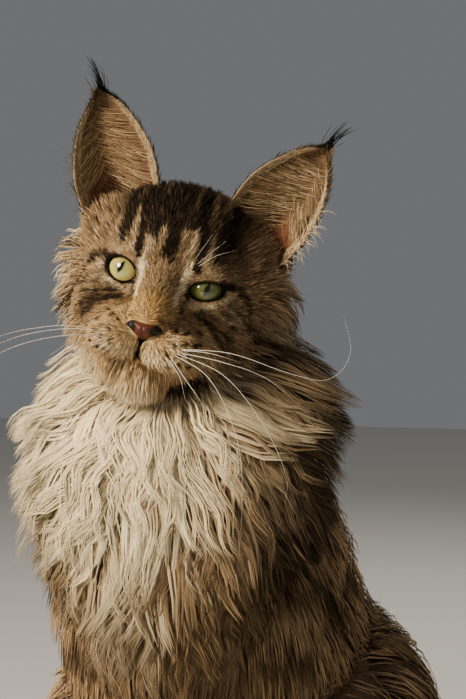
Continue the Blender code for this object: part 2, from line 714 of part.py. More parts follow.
def make_paw(name, size, side, home, helpers):
    """A rounded foot with four toes, flat below."""
    wide, long, high = size["width"], size["length"], size["height"]
    at = Vector(size["at"])
    paw = ball(name, at + Vector((0, long * 0.06, high * 0.48)), (wide * 0.48, long * 0.42, high * 0.54), 12, 8, home)
    for k in range(4):
        spread = (k - 1.5) / 1.5
        ahead = -long * (0.29 if abs(spread) < 0.5 else 0.20)
        centre = at + Vector((spread * wide * 0.34, ahead, high * 0.32))
        half = (wide * 0.165, long * 0.21, high * 0.38)
        ball("toe", centre, half, 7, 5, helpers, Euler((0, 0, -spread * 0.20)))
    combine(paw, "UNION", helpers)
    simpler(paw, MOST["paw"])
    flat_at_floor(paw, helpers)
    if side < 0:
        flip_side(paw)
    return paw


def parent_all(home, label):
    root = bpy.data.objects.new(label, None)
    home.objects.link(root)
    root.location = STANCE
    for thing in home.objects:
        if thing is not root:
            thing.parent = root


def dressed(thing, rows, stations, size, ground, others, most, helpers, scales=None, rings=4):
    """Fuses rows of locks to a core by one union and thins the result."""
    rows_of_locks(helpers, ground, stations, rows, size, coat_lie, others, scales, rings)
    combine(thing, "UNION", helpers)
    simpler(thing, most)


def make_tail(cat, helpers, torso, done):
    """Lengths of one bushy tail, cut across its path, each with its own locks."""
    path = through(TAIL, 200)[:, :3]
    lengths = len(TAIL_CUTS) - 1
    gap_share = GAP * 2.5 / np.linalg.norm(np.diff(path, axis=0), axis=1).sum()

    def along_tail(place):
        k = int(np.argmin(np.linalg.norm(path - np.array(place), axis=1)))
        return Vector(path[min(k + 6, 199)] - path[max(k - 6, 0)]).normalized()

    for k in range(lengths):
        first, last = TAIL_CUTS[k] + gap_share * (k > 0), TAIL_CUTS[k + 1]
        ends = (k == 0, k == lengths - 1)
        piece = loft(f"tail_{k + 1}", TAIL, 8, 14, cat, (0, 0, 1), (first, last), ends)
        rows = [(first + (last - first) * (row + 0.35) / TAIL_ROWS, 7, -125, 125) for row in range(TAIL_ROWS)]
        for number, (share, count, low, high) in enumerate(rows):
            for j in range(count):
                degrees = low + (high - low) * (j + 0.5 * (number % 2)) / (count - 1)
                start = on_loft(TAIL, share, degrees, (0, 0, 1))
                lock(helpers, surface_of([piece]), start, along_tail, COAT["tail"], rings=3)
        combine(piece, "UNION", helpers)
        simpler(piece, MOST["tail"])
        flat_at_floor(piece, helpers)
        clear_of(piece, [torso], helpers, gap=GAP * 2)
        clear_of(piece, done, helpers)
        done.append(piece)


def main():
    clear_scene()
    cat = new_collection("maine_coon_cat")
    helpers = new_collection("helpers")
    helpers.hide_render = True
    sides = (("left", 1), ("right", -1))

    eyes = [make_eye(label, side, cat) for label, side in sides]
    nose = make_nose(cat, helpers)
    head = make_head(cat)
    head_skin = surface_of([head])
    neck = loft("neck_ruff", NECK, 14, 26, cat)
    cheek_locks(helpers, surface_of([head, neck]))
    for label, side in sides:
        lids(helpers, label, side)
    combine(head, "UNION", helpers)
    simpler(head, MOST["head"])
    for label, side in sides:
        eye_opening(helpers, label, side)
    mouth_line(helpers)
    combine(head, "DIFFERENCE", helpers)
    clear_of(head, [*eyes, nose], helpers)
    done = [*eyes, nose, head]
    for label, side in sides:
        ear = make_ear(label, side, cat)
        ear_locks(helpers, side)
        combine(ear, "UNION", helpers)
        simpler(ear, MOST["ear"])
        clear_of(ear, [head], helpers)
        done.append(ear)

    torso = loft("torso", TORSO, 15, 26, cat)
    neck_skin, torso_skin = surface_of([neck]), surface_of([torso])
    clear_of(torso, [neck], helpers, gap=GAP * 2)
    for label, side in sides:
        paw = make_paw(f"forepaw_{label}", FOREPAW, side, cat, helpers)
        leg = loft(f"foreleg_{label}", FORELEG, 12, 14, cat)
        thigh = loft(f"haunch_{label}", HAUNCH, 9, 18, cat)
        foot = loft(f"hindfoot_{label}", HIND_FOOT, 8, 12, cat)
        make_paw("toes", HINDPAW, 1, helpers, new_collection("toe_helpers"))
        combine(foot, "UNION", helpers)
        simpler(foot, MOST["foot"])
        done.append(paw)
        inner = [torso_skin, neck_skin]
        if side > 0:
            leg_skins = [surface_of([leg]), surface_of([thigh])]
        dressed(leg, LEG_ROWS, FORELEG, COAT["leg"], surface_of([leg]), inner, MOST["leg"], helpers, rings=3)
        dressed(thigh, HAUNCH_ROWS, HAUNCH, COAT["haunch"], surface_of([thigh]), inner, MOST["haunch"], helpers)
        for piece in (leg, thigh, foot):
            if side < 0:
                flip_side(piece)
            flat_at_floor(piece, helpers)
            clear_of(piece, [torso, neck], helpers, gap=GAP * 2)
            clear_of(piece, done, helpers)
            done.append(piece)

    make_tail(cat, helpers, torso, done)
    hidden = [neck_skin, *leg_skins]
    dressed(torso, BODY_ROWS, TORSO, COAT["body"], surface_of([torso]), hidden, MOST["torso"], helpers)
    flat_at_floor(torso, helpers)
    clear_of(torso, done, helpers)
    done.append(torso)

    legs = [piece for piece in done if piece.name.startswith("foreleg")]
    longer_bib = lambda p: 1.0 + 0.35 * max(-p.y - 0.07, 0) / 0.05
    body = surface_of([neck, torso, *legs])
    hidden = [head_skin, torso_skin, *leg_skins]
    dressed(neck, RUFF_ROWS, NECK, COAT["ruff"], body, hidden, MOST["neck"], helpers, scales=longer_bib)
    clear_of(neck, done, helpers)
    done.append(neck)
    for thing in done:
        print(thing.name, len(thing.data.polygons), [tuple(round(float(x), 3) for x in c) for c in box_of(thing)])
    parent_all(cat, "maine_coon_cat_stance")


main()
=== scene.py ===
# A sitting maine coon cat as a still, life-size model: one skin, eyes, nose leather, whiskers and a coat
# of thin solid tufts. The cat faces -Y, its left side is +X, and it stands on z = 0.

import math

import bpy
import numpy as np
from mathutils import Euler, Matrix, Vector
from mathutils.bvhtree import BVHTree
from mathutils.kdtree import KDTree


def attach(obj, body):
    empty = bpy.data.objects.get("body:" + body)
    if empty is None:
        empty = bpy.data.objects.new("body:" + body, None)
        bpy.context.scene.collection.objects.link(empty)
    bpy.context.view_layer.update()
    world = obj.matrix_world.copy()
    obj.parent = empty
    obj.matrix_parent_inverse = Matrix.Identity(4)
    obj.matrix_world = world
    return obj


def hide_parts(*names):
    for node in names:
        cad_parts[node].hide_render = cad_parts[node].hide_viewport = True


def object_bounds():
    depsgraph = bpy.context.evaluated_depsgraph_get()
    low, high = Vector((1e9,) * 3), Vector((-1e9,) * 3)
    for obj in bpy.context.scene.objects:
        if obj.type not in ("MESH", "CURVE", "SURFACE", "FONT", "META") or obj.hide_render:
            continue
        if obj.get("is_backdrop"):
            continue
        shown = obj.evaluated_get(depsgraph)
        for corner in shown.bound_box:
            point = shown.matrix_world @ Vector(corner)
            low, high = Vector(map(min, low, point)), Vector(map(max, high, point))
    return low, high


print("cat: the frame")
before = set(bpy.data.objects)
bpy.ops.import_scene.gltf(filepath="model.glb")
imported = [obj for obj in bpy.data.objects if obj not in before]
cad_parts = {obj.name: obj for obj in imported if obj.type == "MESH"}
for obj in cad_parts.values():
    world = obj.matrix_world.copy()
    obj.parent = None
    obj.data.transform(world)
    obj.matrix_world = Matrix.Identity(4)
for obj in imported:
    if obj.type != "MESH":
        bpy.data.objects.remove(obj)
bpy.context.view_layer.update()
share = 1.0  # how much of the coat a quick try grows

# The sizes that the solids share, in metres and degrees
stance = np.array((0.0531, -0.0476, 0.0))
head = {
    "at": (0.0, -0.082, 0.371),
    "yaw": 8.0,
    "pitch": 2.0,
    "tilt": 14.5,
    "heart": (0.0, -0.010, -0.006),
}
headMasses = (  # middle and half sizes in mm, and how softly it joins the others
    ((0, 13, 6), (47.5, 46, 41), 0),
    ((0, -12, 17), (32, 25, 24), 14),
    ((20, -21, 0.5), (15, 10, 12.5), 6),
    ((19, -21.5, 12.5), (14, 9.5, 8), 10),
    ((26.5, -2, -19), (22, 26, 24), 14),
    ((35, 6, 13), (16, 20, 15), 12),
    ((0, -30, -6), (11.5, 20, 15), 10),
    ((0, -45, -19), (9.8, 14.5, 10), 8),
    ((12.8, -43.5, -32.5), (15.5, 16, 11.2), 5),
    ((0, -40.5, -43.2), (13.5, 11, 8), 7),
    ((0, -11, -33), (30, 26, 19), 14),
)
eye = {
    "at": (0.0200, -0.0225, 0.0),
    "radius": 0.0105,
    "bulge": 0.0010,
    "turnOut": 13.0,
    "slant": 13.0,
    "halfWidth": 0.0086,
    "open": {1: (0.0043, 0.0050), -1: (0.0056, 0.0060)},  # above and below the middle, left 1, right -1
    "lid": 0.00062,
}
mouthLine = (  # down from the nose and out along the lips, in mm
    (0, -58, -26.8),
    (0, -57, -36.5),
    (5, -55, -39.4),
    (12, -49, -40.8),
    (19, -38, -40.4),
    (23, -28, -39),
)
# the ear's inner and outer edges and the middle of its back, in mm
earInner = ((15.5, 2, 34), (27, 0, 61), (45, 1, 78), (59, 2, 83.5))
earOuter = ((48, 0, 14), (61, -3, 35), (66, 0, 60), (61, 2, 83))
earBack = ((30, 32, 18), (43, 29, 45), (55, 16, 69), (60, 3, 83.5))
# each loft's stations (x, y, z, half across, half deep) in mm, its direction across and its flesh's share
lofts = {
    "neck": (
        (
            (0, -62, 352, 40, 36), (0, -60, 322, 52, 46), (0, -64, 285, 59, 55),
            (0, -76, 245, 60, 50), (0, -82, 208, 48, 36), (0, -82, 186, 30, 22),
        ),
        (1, 0, 0),
        0.84,
    ),
    "torso": (
        (
            (0, -55, 262, 44, 40), (0, -28, 236, 64, 64), (0, 12, 195, 71, 75), (0, 50, 150, 75, 79),
            (0, 84, 112, 76, 78), (0, 112, 78, 66, 68), (0, 132, 52, 46, 48),
        ),
        (1, 0, 0),
        0.88,
    ),
    "foreleg": (
        (
            (43, -57, 215, 28, 38), (42, -57, 185, 26, 34), (37, -56, 150, 21, 25), (32, -62, 105, 17, 19),
            (30, -69, 62, 15.5, 16.5), (30, -74, 34, 15.5, 16.5), (30, -78, 18, 15.5, 16.5),
        ),
        (1, 0, 0),
        0.90,
    ),
    "haunch": (
        (
            (50, 122, 128, 30, 36), (60, 100, 116, 38, 54), (68, 66, 98, 41, 64),
            (74, 26, 80, 37, 56), (77, -6, 66, 27, 38),
        ),
        (1, 0, 0),
        0.88,
    ),
    "hindFoot": (
        ((74, 110, 20, 13, 17), (78, 66, 16, 13.5, 14.5), (83, 12, 15, 15.5, 14.5), (86, -22, 14, 19, 15)),
        (1, 0, 0),
        0.92,
    ),
    "tail": (
        (
            (0, 140, 46, 20, 20), (-20, 178, 38, 25, 25), (-66, 203, 34, 27, 27), (-120, 195, 33, 28, 28),
            (-165, 152, 33, 28, 28), (-184, 92, 32, 28, 28), (-180, 34, 31, 26, 26), (-158, -18, 29, 22, 22),
            (-126, -52, 26, 12, 12),
        ),
        (0, 0, 1),
        0.50,
    ),
}
paws = {
    "forepaw": {"at": (0.030, -0.088, 0.0), "width": 0.044, "length": 0.060, "height": 0.032},
    "hindpaw": {"at": (0.087, -0.041, 0.0), "width": 0.045, "length": 0.058, "height": 0.030},
}
pawFlesh = (0.94, 0.96, 0.94)  # the flesh's share of the width, length and height
toeSpread = 0.355  # from the middle to the outer toes, as a share of the width
coatLie = (  # a place on the left side in mm and the way the hair lies there, mirrored for the right side
    ((0, 0, 325), (0, 0.60, -0.80)),
    ((0, 50, 265), (0, 0.62, -0.78)),
    ((0, 120, 205), (0, 0.55, -0.83)),
    ((0, 180, 110), (0, 0.50, -0.87)),
    ((0, -115, 320), (0, -0.40, -0.92)),
    ((0, -140, 260), (0, -0.16, -0.99)),
    ((0, -120, 195), (0, 0.05, -1)),
    ((55, -105, 305), (0.78, -0.08, -0.62)),
    ((60, -95, 250), (0.42, -0.05, -0.91)),
    ((58, -50, 330), (0.72, 0.15, -0.68)),
    ((70, -30, 240), (0.12, 0.35, -0.93)),
    ((80, 30, 180), (0.05, 0.48, -0.88)),
    ((60, 90, 190), (0.20, 0.45, -0.87)),
    ((105, 60, 130), (0.14, 0.30, -0.94)),
    ((100, -10, 80), (0.10, 0, -1)),
    ((90, 130, 80), (0.20, 0.60, -0.78)),
    ((35, -70, 110), (0, 0.25, -0.97)),
    ((0, 10, 90), (0, 0.30, -0.95)),
)
sideName = {1: "Left", -1: "Right"}


def mm(values):
    # a place or size in mm as metres
    return np.array(values, float) / 1000


def unit(v):
    # each vector divided by its length
    return v / np.maximum(np.linalg.norm(v, axis=-1, keepdims=True), 1e-12)


def dot(a, b):
    # the sum of products of each pair of vectors, kept as an axis of one
    return np.sum(a * b, axis=-1, keepdims=True)


def ease(low, high, x):
    # 0 below low, 1 above high, and 3t^2 - 2t^3 between them
    t = np.clip((x - low) / (high - low), 0.0, 1.0)
    return t * t * (3.0 - 2.0 * t)


def hump(x, wide, z=0.0, high=1.0):
    # 1 in the middle and nothing far off: exp(-(x / wide)^2 - (z / high)^2)
    return np.exp(-((x / wide) ** 2) - (z / high) ** 2)


def circle(count):
    # the angles of as many even steps round a circle
    return 2 * np.pi * np.arange(count) / count


def upTo(count):
    # shares from 0 at the root to 1 at the tip, shaped to multiply the points of many strands
    return np.linspace(0, 1, count)[None, :, None]


def linearColour(*colour):
    # a screen colour as linear light: ((c + 0.055) / 1.055)^2.4
    c = np.array(colour, float)
    return np.where(c < 0.04045, c / 12.92, ((c + 0.055) / 1.055) ** 2.4)


def through(stations, count):
    # Catmull-Rom curve through the stations, at count even steps
    s = np.asarray(stations, float)
    s = np.vstack([2 * s[0] - s[1], s, 2 * s[-1] - s[-2]])
    at = np.linspace(0, len(s) - 3, count)
    i = np.minimum(at.astype(int), len(s) - 4)
    t = (at - i)[:, None]
    a, b, c, d = s[i], s[i + 1], s[i + 2], s[i + 3]
    return 0.5 * (2 * b + (c - a) * t + (2 * a - 5 * b + 4 * c - d) * t**2 + (3 * b - a - 3 * c + d) * t**3)


def softUnion(a, b, soft):
    # the smaller of two distances, blended over the width soft
    if soft <= 0:
        return np.minimum(a, b)
    h = np.clip(0.5 + 0.5 * (b - a) / soft, 0, 1)
    return b * (1 - h) + a * h - soft * h * (1 - h)


def wander(p, scale, seed):
    # a smooth wandering value, mostly from -1 to 1: the sum / 3.2 of six sine waves that the seed draws
    draw = np.random.default_rng(seed)
    total = 0.0
    for k in range(6):
        way = draw.normal(size=3)
        way = way / np.linalg.norm(way) * draw.uniform(0.6, 1.5)
        total = total + np.sin(p @ way * (2 * math.pi / scale) + draw.uniform(0, 6.28))
    return total / 3.2


def meshFrom(name, points, faces):
    # one mesh object from an array of points and an array of faces that all have as many corners
    data = bpy.data.meshes.new(name)
    count, corners = faces.shape
    data.vertices.add(len(points))
    data.vertices.foreach_set("co", points.astype(np.float32).ravel())
    data.loops.add(count * corners)
    data.loops.foreach_set("vertex_index", faces.astype(np.int32).ravel())
    data.polygons.add(count)
    data.polygons.foreach_set("loop_start", np.arange(0, count * corners, corners, dtype=np.int32))
    data.polygons.foreach_set("use_smooth", np.ones(count, bool))
    data.update(calc_edges=True)
    piece = bpy.data.objects.new(name, data)
    bpy.context.scene.collection.objects.link(piece)
    return piece


def pointsOf(data):
    # a mesh's points as an array of places
    co = np.empty(len(data.vertices) * 3, np.float32)
    data.vertices.foreach_get("co", co)
    return co.reshape(-1, 3).astype(float)


def trianglesOf(data):
    # a mesh's triangles as an array of point numbers
    data.calc_loop_triangles()
    tri = np.empty(len(data.loop_triangles) * 3, np.int32)
    data.loop_triangles.foreach_get("vertices", tri)
    return tri.reshape(-1, 3)


def drop(piece):
    # an object and its mesh, removed
    data = piece.data
    bpy.data.objects.remove(piece)
    bpy.data.meshes.remove(data)


def cellFaces(a, b, c, d):
    # two triangles for each cell with the corners a, b, c and d
    return np.concatenate([np.stack([a, b, c], -1).reshape(-1, 3), np.stack([a, c, d], -1).reshape(-1, 3)])


def gridFaces(rows, across, around=True):
    # the faces of a grid of points, closed round where around is true
    i = np.arange(rows - 1)[:, None]
    j = np.arange(across if around else across - 1)[None, :]
    a = i * across + j
    b = i * across + (j + 1) % across
    c = b + across
    d = a + across
    return cellFaces(a, b, c, d)


def poleFaces(ring, pole, across, turn):
    # a fan of triangles from the ring that starts at point ring to the point pole
    j = np.arange(across)
    k = (j + 1) % across
    fan = np.stack([ring + j, ring + k, np.full(across, pole)], -1)
    return fan[:, ::-1] if turn else fan


def shellFaces(rows, around):
    # rings of points that close at each end on a pole; the two poles are the last two points
    last = rows * around
    ends = [poleFaces(0, last, around, True), poleFaces(last - around, last + 1, around, False)]
    return np.concatenate([gridFaces(rows, around)] + ends)


def shellShares(rows, around, low=0.0, high=1.0):
    # a place in the unit square for each point of such a shell
    u = np.tile(circle(around) / (2 * np.pi), rows)
    v = np.repeat(np.linspace(low, high, rows), around)
    return np.vstack([np.stack([u, v], -1), ((0.5, 0.0), (0.5, 1.0))])


def frontWays(rows, around, crowding):
    # ways in rings about the Y axis, (sin t cos a, -cos t, sin t sin a), closest in front, and the poles
    t = np.pi * np.linspace(0, 1, rows + 2)[1:-1] ** crowding
    a = circle(around)
    y = -np.outer(np.cos(t), np.ones(around))
    ways = np.stack([np.outer(np.sin(t), np.cos(a)), y, np.outer(np.sin(t), np.sin(a))], -1)
    return np.vstack([ways.reshape(-1, 3), ((0, -1, 0), (0, 1, 0))])


def outward(points, faces):
    # the faces, turned over where the volume inside them, the sum of a . (b x c) / 6, is below zero
    middle = points.mean(0)
    a, b, c = (points[faces[:, k]] - middle for k in range(3))
    return faces[:, ::-1] if np.sum(a * np.cross(b, c)) < 0 else faces


def closedTube(centre, half, reference, around):
    # rings centre + across half1 cos + deep half2 sin along a path, with rounded ends that close on a pole
    along = unit(np.gradient(centre, axis=0))
    across = unit(reference - dot(along, reference) * along)
    deep = np.cross(along, across)
    low, high = half[0].mean(), half[-1].mean()
    s1 = np.array((0.4, 0.7, 0.9))[:, None]
    s0 = s1[::-1]
    centre = np.vstack([centre[0] - along[0] * low * s0, centre, centre[-1] + along[-1] * high * s1])
    half = np.vstack([half[0] * np.sqrt(1 - s0**2), half, half[-1] * np.sqrt(1 - s1**2)])[:, None]
    across, deep = (np.vstack([v[:1]] * 3 + [v] + [v[-1:]] * 3)[:, None] for v in (across, deep))
    turn = circle(around)[None, :, None]
    ring = centre[:, None] + across * half[..., :1] * np.cos(turn) + deep * half[..., 1:] * np.sin(turn)
    poles = np.vstack([centre[0] - along[0] * low * 0.08, centre[-1] + along[-1] * high * 0.08])
    points = np.vstack([ring.reshape(-1, 3), poles])
    return points, outward(points, shellFaces(len(centre), around)), shellShares(len(centre), around)


def ball(centre, half, rows=14, around=20):
    # centre + half sizes * (sin t cos a, sin t sin a, cos t)
    points = frontWays(rows, around, 1.0)[:, (0, 2, 1)] * (1, 1, -1) * half + centre
    return points, outward(points, shellFaces(rows, around)), shellShares(rows, around, 0.02, 0.98)


headTurn = np.array(
    Euler((math.radians(head["pitch"]), 0, math.radians(head["yaw"]))).to_matrix()
    @ Euler((0, math.radians(head["tilt"]), 0)).to_matrix()
)
headAt = np.array(head["at"])
heart = np.array(head["heart"])


def fromHead(p):
    # head's own coordinates to the cat's
    return p @ headTurn.T + headAt


def toHead(p):
    # the cat's coordinates to the head's own
    return (p - headAt) @ headTurn


def eyePlace(side):
    # the eyeball's own frame in the head's coordinates, with -Y out of the pupil
    x, y, z = eye["at"]
    turn = (
        Euler((0, -math.radians(eye["slant"]) * side, 0)).to_matrix()
        @ Euler((0, 0, math.radians(eye["turnOut"]) * side)).to_matrix()
    )
    return np.array((x * side, y, z)), np.array(turn)


def toEye(p, side):
    # head's coordinates to the eyeball's own
    at, turn = eyePlace(side)
    return (p - at) @ turn


def fromEye(p, side):
    # the eyeball's own coordinates to the head's
    at, turn = eyePlace(side)
    return p @ turn.T + at


def eyeEdge(side, count, grow=1.0):
    # the almond of the lids: x = half width * cos, z = opening * sin * (1 - 0.16 cos^2)
    a = circle(count)
    above, below = eye["open"][side]
    x = eye["halfWidth"] * np.cos(a) * grow
    z = np.where(np.sin(a) > 0, above, below) * np.sin(a) * (1 - 0.16 * np.cos(a) ** 2) * grow
    return x, z


def eyeSize(e, side):
    # how far out a place is from the eye's middle, 1 on the almond: sqrt((x / width)^2 + (z / opening)^2)
    above, below = eye["open"][side]
    return np.sqrt((e[:, 0] / eye["halfWidth"]) ** 2 + (e[:, 2] / np.where(e[:, 2] > 0, above, below)) ** 2)


def headForm(p):
    # soft union of the masses on both sides, with a ball that the lids hug round each eye
    total = None
    for centre, half, soft in headMasses:
        for side in (1, -1) if centre[0] else (1,):
            q = (p - mm(centre) * (side, 1, 1)) / mm(half)
            size = np.linalg.norm(q, axis=-1)
            d = size * (size - 1) / np.maximum(np.linalg.norm(q / mm(half), axis=-1), 1e-9)
            total = d if total is None else softUnion(total, d, soft / 1000)
    for side in (1, -1):
        at = np.array(eye["at"]) * (side, 1, 1)
        total = softUnion(total, np.linalg.norm(p - at, axis=-1) - eye["radius"] - 0.0012, 0.004)
    return total


def headReach(ways):
    # how far the head's form reaches along each way from its heart: the last of 74 steps that is inside
    steps = np.linspace(0.012, 0.085, 74)
    values = np.stack([headForm(heart + ways * s) for s in steps])
    last = np.minimum(len(steps) - 2 - np.argmax(values[::-1][1:] < 0, axis=0), len(steps) - 2)
    pick = np.arange(len(ways))
    a, b = values[last, pick], values[last + 1, pick]
    t = np.clip(a / np.minimum(a - b, -1e-9), 0, 1)
    return steps[last] + t * (steps[1] - steps[0])


def nearLine(p, line):
    # distance from each point to a polyline: the least over its straight lengths
    line = np.asarray(line, float)
    best = np.full(len(p), 1e9)
    for a, b in zip(line[:-1], line[1:]):
        d = b - a
        t = np.clip(((p - a) @ d) / max(d @ d, 1e-12), 0, 1)
        best = np.minimum(best, np.linalg.norm(p - a - t[:, None] * d, axis=-1))
    return best


def frontLine(p, line):
    # distance seen from the front, in x and z only
    return nearLine(p * (1, 0, 1), np.asarray(line) * (1, 0, 1))


def lipDistance(p, line, measure):
    # the distance to a line on the left side or to its mirror image, whichever is less
    return np.minimum(measure(p, line), measure(p, line * (-1, 1, 1)))


def onFront(p, steps=281):
    # the same x and z with the y where the head's form is first met from the front
    y = np.linspace(-0.075, -0.005, steps)
    grid = np.stack(np.broadcast_arrays(p[:, :1], y, p[:, 2:]), -1)
    met = np.argmax(headForm(grid) < 0, axis=1)
    return np.stack([p[:, 0], y[met], p[:, 2]], -1)


mouthLine = onFront(through(mm(mouthLine), 26))
cleft = mouthLine[:6]  # the part under the nose
lipLine = mouthLine[:16]

print("cat: the head's surface")
headGrid = {"rows": 170, "around": 240, "coatDepth": 0.0022, "bareDepth": 0.0006}
earGrid = {"rows": 40, "across": 30}


def headSurface():
    # rays from the heart; the skin lies under the form by the coat's depth, less on the muzzle and the lids
    rows, around = headGrid["rows"], headGrid["around"]
    ways = frontWays(rows, around, 1.22)
    reach = headReach(ways)
    p = heart + ways * reach[:, None]
    bare = ease(-0.030, -0.046, p[:, 1]) * ease(0.006, -0.006, p[:, 2])
    for side in (1, -1):
        q = toEye(p, side)
        bare = np.maximum(bare, ease(0.0175, 0.0125, np.linalg.norm(q[:, (0, 2)], axis=-1)) * (q[:, 1] < 0))
    depth = headGrid["coatDepth"] * (1 - bare) + headGrid["bareDepth"] * bare
    lips = lipDistance(p, mouthLine, nearLine)
    depth = depth + 0.0005 * hump(lips, 0.0011) + 0.0012 * hump(nearLine(p, cleft), 0.0013)
    p = heart + ways * (reach - depth)[:, None]
    return p, outward(p, shellFaces(rows, around)), shellShares(rows, around)


def earSurface(side):
    # a cup between the inner and outer edges, (inner (1 - t) + outer (1 + t)) / 2 + back * cos(t pi/2)^0.8,
    # with a second wall behind it that thins towards the edges
    rows, across = earGrid["rows"], earGrid["across"]
    inner, back, outer = (through(mm(c), rows)[:, None] for c in (earInner, earBack, earOuter))
    up = np.linspace(0, 1, rows)[:, None, None]
    t = np.linspace(-1, 1, across)[None, :, None]
    bow = np.maximum(np.cos(t * np.pi / 2), 0) ** 0.8
    flat = (inner * (1 - t) + outer * (1 + t)) / 2
    deep = (back - (inner + outer) / 2) * bow
    cup = flat + deep * (0.50 + 0.12 * ease(0.35, 0.0, up))  # the front is shallower than the back
    normal = unit(np.cross(np.gradient(cup, axis=0), np.gradient(cup, axis=1)))
    normal = np.where(normal[..., 1:2].mean() > 0, normal, -normal)
    wall = flat + deep + normal * ((0.0006 + 0.0012 * bow) * (1 - 0.5 * up))
    count = rows * across
    points = np.vstack([cup.reshape(-1, 3), wall.reshape(-1, 3)]) * (side, 1, 1)
    front = gridFaces(rows, across, around=False)
    index = np.arange(count).reshape(rows, across)
    rim = np.concatenate([index[0], index[1:, -1], index[-1, -2::-1], index[-2:0:-1, 0]])
    following = np.roll(rim, -1)
    edge = cellFaces(rim, rim + count, following + count, following)
    faces = np.concatenate([front, front[:, ::-1] + count, edge])
    shares = np.stack(np.broadcast_arrays(np.linspace(0, 1, across), up[..., 0]), -1).reshape(-1, 2)
    return points, outward(points, faces), np.vstack([shares, shares])


def solidUnion(target, others, kind="UNION"):
    # one Boolean with all the others, applied, and the others removed
    group = bpy.data.collections.new("cutters")
    bpy.context.scene.collection.children.link(group)
    for other in others:
        group.objects.link(other)
    step = target.modifiers.new("join", "BOOLEAN")
    step.operation = kind
    step.operand_type = "COLLECTION"
    step.collection = group
    step.solver = "MANIFOLD"
    graph = bpy.context.evaluated_depsgraph_get()
    graph.update()
    data = bpy.data.meshes.new_from_object(target.evaluated_get(graph))
    target.modifiers.clear()
    old = target.data
    target.data = data
    bpy.data.meshes.remove(old)
    for other in others:
        drop(other)
    bpy.data.collections.remove(group)
    return target


print("cat: the body's form")
partNames = []
seedPoints = []
seedShares = []
seedParts = []


def remember(name, points, shares):
    # keeps a part's points with its name and its own unwrap, to tell later which part a point of skin is on
    partNames.append(name)
    seedPoints.append(points)
    seedShares.append(shares)
    seedParts.append(np.full(len(points), len(partNames) - 1))


bodyGrid = {"along": 44, "around": 48, "voxel": 0.0029, "smoothing": 5, "soleHeight": 0.0002}
bodyForms = []


def addForm(label, parts, side):
    # the parts of one limb, mirrored for the right side, each a closed mesh
    remember(label, np.vstack([p[0] for p in parts]) * (side, 1, 1), np.vstack([p[2] for p in parts]))
    for points, faces, shares in parts:
        points = points * (side, 1, 1)
        bodyForms.append(meshFrom(label, points, outward(points, faces)))


for name, (stations, reference, flesh) in lofts.items():
    run = through(mm(stations), bodyGrid["along"])
    paired = name in ("foreleg", "haunch", "hindFoot")
    for side in (1, -1) if paired else (1,):
        tube = closedTube(run[:, :3], run[:, 3:5] * flesh, np.array(reference, float), bodyGrid["around"])
        addForm(name + (sideName[side] if paired else ""), [tube], side)
for name, paw in paws.items():
    wide, long, high = paw["width"] * pawFlesh[0], paw["length"] * pawFlesh[1], paw["height"] * pawFlesh[2]
    at = np.array(paw["at"])
    parts = [ball(at + (0, long * 0.12, high * 0.48), np.array((wide * 0.45, long * 0.37, high * 0.52)))]
    for k in range(4):  # the toes, spread like a fan, the middle two further forward
        spread = (k - 1.5) / 1.5
        reach = 0.29 if k in (1, 2) else 0.20
        points, faces, shares = ball(np.zeros(3), np.array((wide * 0.128, long * 0.22, high * 0.40)))
        c, s = math.cos(-spread * 0.20), math.sin(-spread * 0.20)
        spin = np.array(((c, -s, 0), (s, c, 0), (0, 0, 1)))
        middle = at + (spread * wide * toeSpread, -long * reach, high * 0.36)
        parts.append((points @ spin.T + middle, faces, shares))
    for side in (1, -1):
        addForm(name + sideName[side], parts, side)

body = bodyForms[0]
with bpy.context.temp_override(
    active_object=body, selected_editable_objects=bodyForms, selected_objects=bodyForms, object=body
):
    bpy.ops.object.join()
body.name = "skin"
remesh = body.modifiers.new("remesh", "REMESH")
remesh.mode = "VOXEL"
remesh.voxel_size = bodyGrid["voxel"]
soften = body.modifiers.new("soften", "SMOOTH")
soften.factor = 0.5
soften.iterations = bodyGrid["smoothing"]
graph = bpy.context.evaluated_depsgraph_get()
data = bpy.data.meshes.new_from_object(body.evaluated_get(graph))
body.modifiers.clear()
body.data = data
print("cat: body", len(data.polygons), "faces")

headPoints, headFaces, headShares = headSurface()
remember("head", fromHead(headPoints), headShares)
headTree = BVHTree.FromPolygons(headPoints.tolist(), headFaces.tolist())
headPiece = meshFrom("headForm", fromHead(headPoints), headFaces)
ears = []
earSheets = {}
for side in (1, -1):
    points, faces, shares = earSurface(side)
    points = fromHead(points)
    half = len(points) // 2
    earSheets[side] = points.reshape(2, earGrid["rows"], earGrid["across"], 3)  # cup and wall
    remember("earFront" + sideName[side], points[:half], shares[:half])
    remember("earBack" + sideName[side], points[half:], shares[half:])
    ears.append(meshFrom("ear", points, outward(points, faces)))

